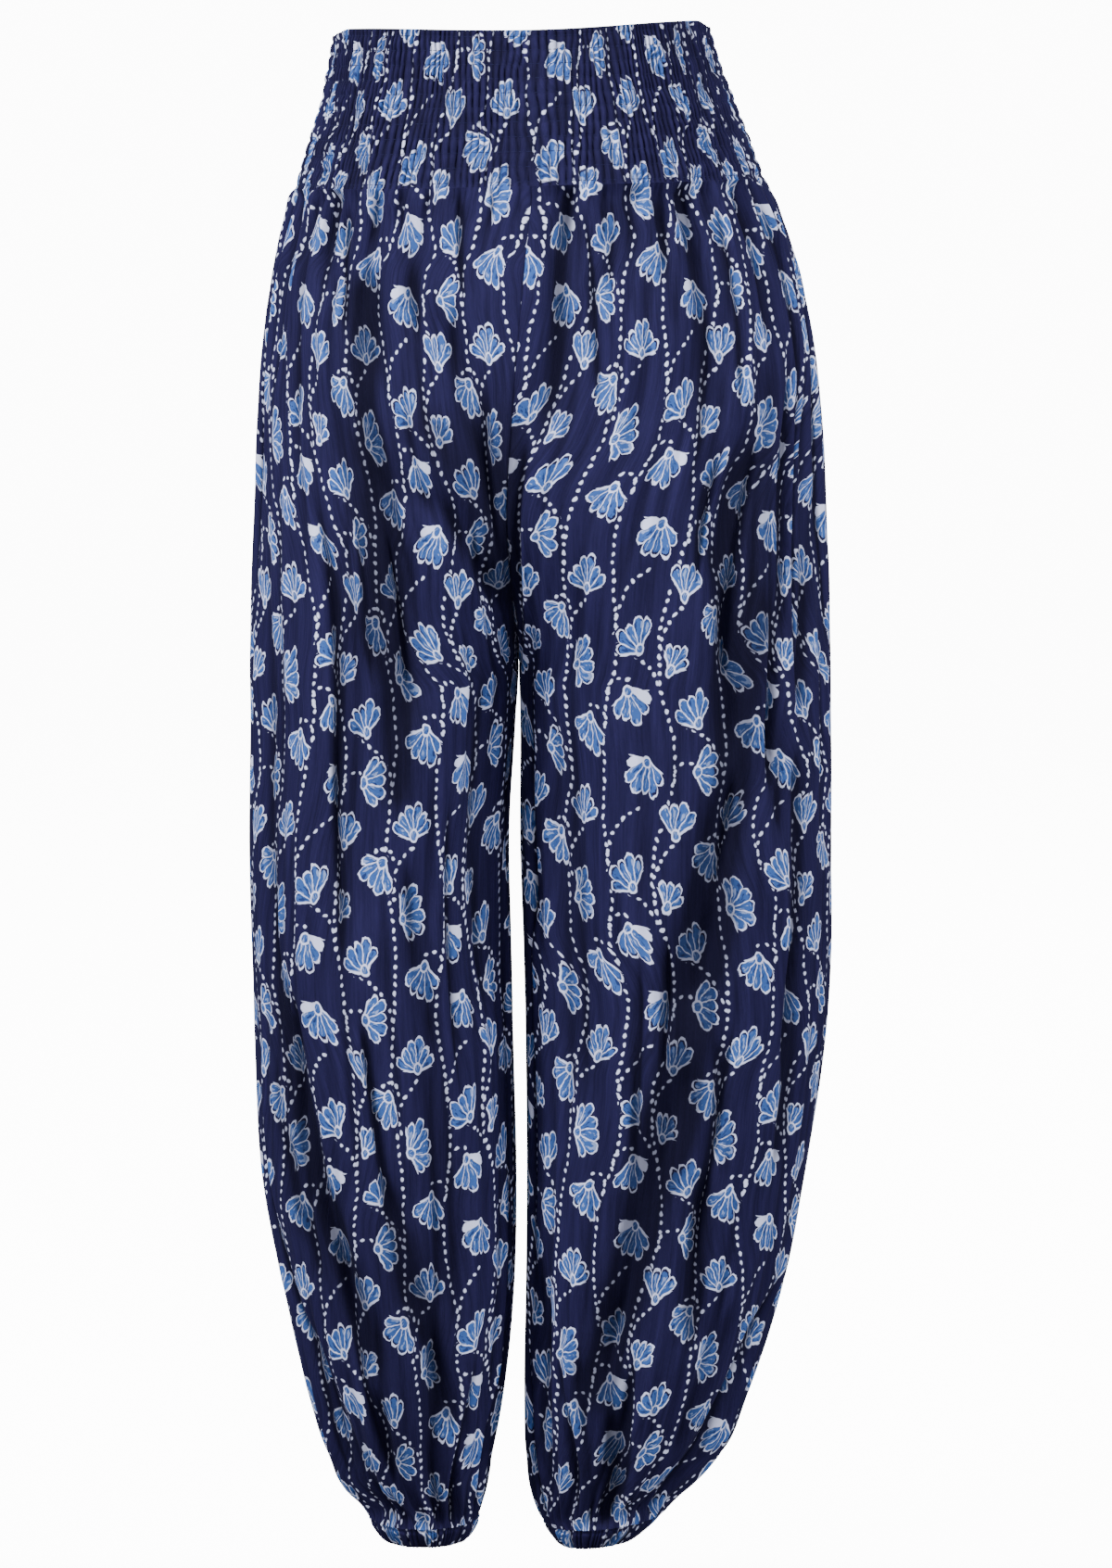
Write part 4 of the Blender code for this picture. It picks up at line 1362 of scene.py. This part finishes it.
def make_stitches(name, along, out, thick, material):
    """Threads through points along (stitch, point, 3) with four sides round each. The sides'
    corners stand off by the outward direction and by the direction across it."""
    line = np.gradient(along, axis=1)
    line = line / np.linalg.norm(line, axis=-1, keepdims=True)
    cross = np.cross(line, out)
    cross = cross / np.linalg.norm(cross, axis=-1, keepdims=True)
    around = np.stack([out, cross, -out, -cross], axis=2) * thick
    points = along[:, :, None] + around * THREAD_ENDS[None, :, None, None]
    count, rings = along.shape[:2]
    s, r, c = np.meshgrid(np.arange(count), np.arange(rings - 1), np.arange(4), indexing="ij")
    at, turned = (s * rings + r) * 4, (c + 1) % 4
    sides = np.stack([at + c, at + turned, at + 4 + turned, at + 4 + c], axis=-1).reshape(-1, 4)
    first = np.arange(count)[:, None] * rings * 4
    faces = np.concatenate([sides, first + [3, 2, 1, 0], first + 4 * (rings - 1) + [0, 1, 2, 3]])
    mesh = make_mesh(name, points.reshape(-1, 3) * 0.001, faces)
    mesh.materials.append(material)
    mesh.update(calc_edges=True)
    mesh.shade_smooth()
    piece = link_piece(name, mesh)
    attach(piece, "root")
    print(name, "has", count, "stitches,", 2 * len(faces), "triangles")
    return piece


navy_thread = plain_thread("navy_thread", (0.006, 0.0065, 0.034, 1.0))
SHIRR_STITCHES, HEM_STITCHES = 240, 70

row = SHIRR_TOP - SHIRR_PITCH * np.arange(SHIRR_ROWS)
turn, z = np.broadcast_arrays(stitch_turns(SHIRR_STITCHES)[None], row[:, None, None])
turn, z = turn.reshape(-1, 4), z.reshape(-1, 4)
low, _ = band_surface(turn, z, 0.05)
high, _ = band_surface(turn, z, 1.05)
stitches = make_stitches("shirring_stitches", low, high - low, 0.28, navy_thread)

for name, side in (("hem_stitches_right", -1), ("hem_stitches_left", 1)):
    turn = stitch_turns(HEM_STITCHES)
    z = np.full_like(turn, HEM_SEAM - 2.1)
    low, _ = casing_surface(side, turn, z, 0.05)
    high, _ = casing_surface(side, turn, z, 1.05)
    stitches = make_stitches(name, low, high - low, 0.26, navy_thread)

# %% [markdown]
# ## Camera
# A product picture of trousers is taken from far off, level with the waist and looking a
# little down, so the lens is long. The camera stands 3.2 m from the middle of the picture,
# and one of the picture's pixels is 0.6 mm on the trousers.

# %% Camera
PIXEL = 0.97 / 1622
IMAGE_HEIGHT = 1692
DISTANCE = 3.2
camera_data = bpy.data.cameras.new("camera")
camera_data.sensor_width = 36.0
camera_data.lens = 36.0 * DISTANCE / (IMAGE_HEIGHT * PIXEL)
camera_data.dof.use_dof = False
camera = bpy.data.objects.new("camera", camera_data)
target = np.array([36 * PIXEL, 0.0, 0.05 - 816 * PIXEL])
tilt = np.arcsin(-target[2] / DISTANCE)
camera.location = target + DISTANCE * np.array([0.0, -np.cos(tilt), np.sin(tilt)])
camera.rotation_euler = (pi / 2 - tilt, 0.0, 0.0)
bpy.context.scene.collection.objects.link(camera)
bpy.context.scene.camera = camera
print("camera at", [round(v, 3) for v in camera.location], "lens", round(camera_data.lens, 1))

# %% [markdown]
# ## Studio
# The picture is lit by large soft lights against white. A pale floor that curves up into a
# backdrop and three area lights in front, the left one strongest, do the same here, and a
# fourth lights the back for views from there. The backdrop glows behind the trousers, and
# its light is kept off them, as a cut-out picture has it, so that it doesn't flatten the
# folds. The main lights stand high, so the shins lie darker than the hips.

# %% Floor, backdrop and lights
def make_backdrop():
    """A floor that bends up behind the trousers: straight, a quarter circle, straight."""
    bend = np.linspace(0, pi / 2, 13)
    y = np.concatenate([[-3.0, 0.0], 6.8 + 1.2 * np.sin(bend), [8.0]])
    z = np.concatenate([[0.0, 0.0], 1.2 - 1.2 * np.cos(bend), [6.0]]) - 1.02
    points = [(x, a, b) for a, b in zip(y, z) for x in (-7.0, 7.0)]
    faces = [(2 * i, 2 * i + 1, 2 * i + 3, 2 * i + 2) for i in range(len(y) - 1)]
    mesh = bpy.data.meshes.new("backdrop")
    mesh.from_pydata(points, [], faces)
    mesh.shade_smooth()
    material, shader, start = new_material("backdrop_paper")
    _, depth = start.node("ShaderNodeTexCoord", {}, 3).parts()
    glow = start.mix(depth.above(0.12, 0.12), (0.01, 0.01, 0.01, 1.0), (1.0, 1.0, 1.0, 1.0))
    pale = {"Base Color": (0.85, 0.85, 0.85, 1.0), "Roughness": 0.9, "Emission Strength": 12.0}
    feed(shader, {"Emission Color": glow}, pale)
    mesh.materials.append(material)
    backdrop = link_piece("backdrop", mesh)
    backdrop.visible_diffuse = False
    backdrop.visible_glossy = False


LIT_MIDDLE = (0.0, 0.0, -0.30)
LIGHT_COLUMNS = ("name", "place", "size", "watts")
LIGHTS = (
    ("key", (-2.4, -1.6, 1.6), 1.0, 200.0),
    ("fill", (2.6, -1.7, 1.1), 1.2, 138.0),
    ("front", (0.0, -2.7, -0.25), 1.0, 40.0),
    ("back", (0.8, 2.8, 1.7), 1.4, 120.0),
)


def add_light(name, place, size, watts):
    """A square area light that faces the middle of the trousers."""
    data = bpy.data.lights.new(name, "AREA")
    data.size, data.energy = size, watts
    light = bpy.data.objects.new(name, data)
    light.location = place
    aim = np.array(LIT_MIDDLE) - np.array(place)
    heading = np.arctan2(aim[0], -aim[1])
    pitch = np.arctan2(np.hypot(aim[0], aim[1]), -aim[2])
    light.rotation_euler = (pitch, 0.0, pi + heading)
    bpy.context.scene.collection.objects.link(light)
    print(name, "light,", watts, "W")


make_backdrop()
for row in LIGHTS:
    add_light(**dict(zip(LIGHT_COLUMNS, row)))
world = bpy.data.worlds.new("studio")
world.use_nodes = True
sky = world.node_tree.nodes["Background"]
sky.inputs["Color"].default_value = (1.0, 1.0, 1.0, 1.0)
sky.inputs["Strength"].default_value = 0.12
bpy.context.scene.world = world
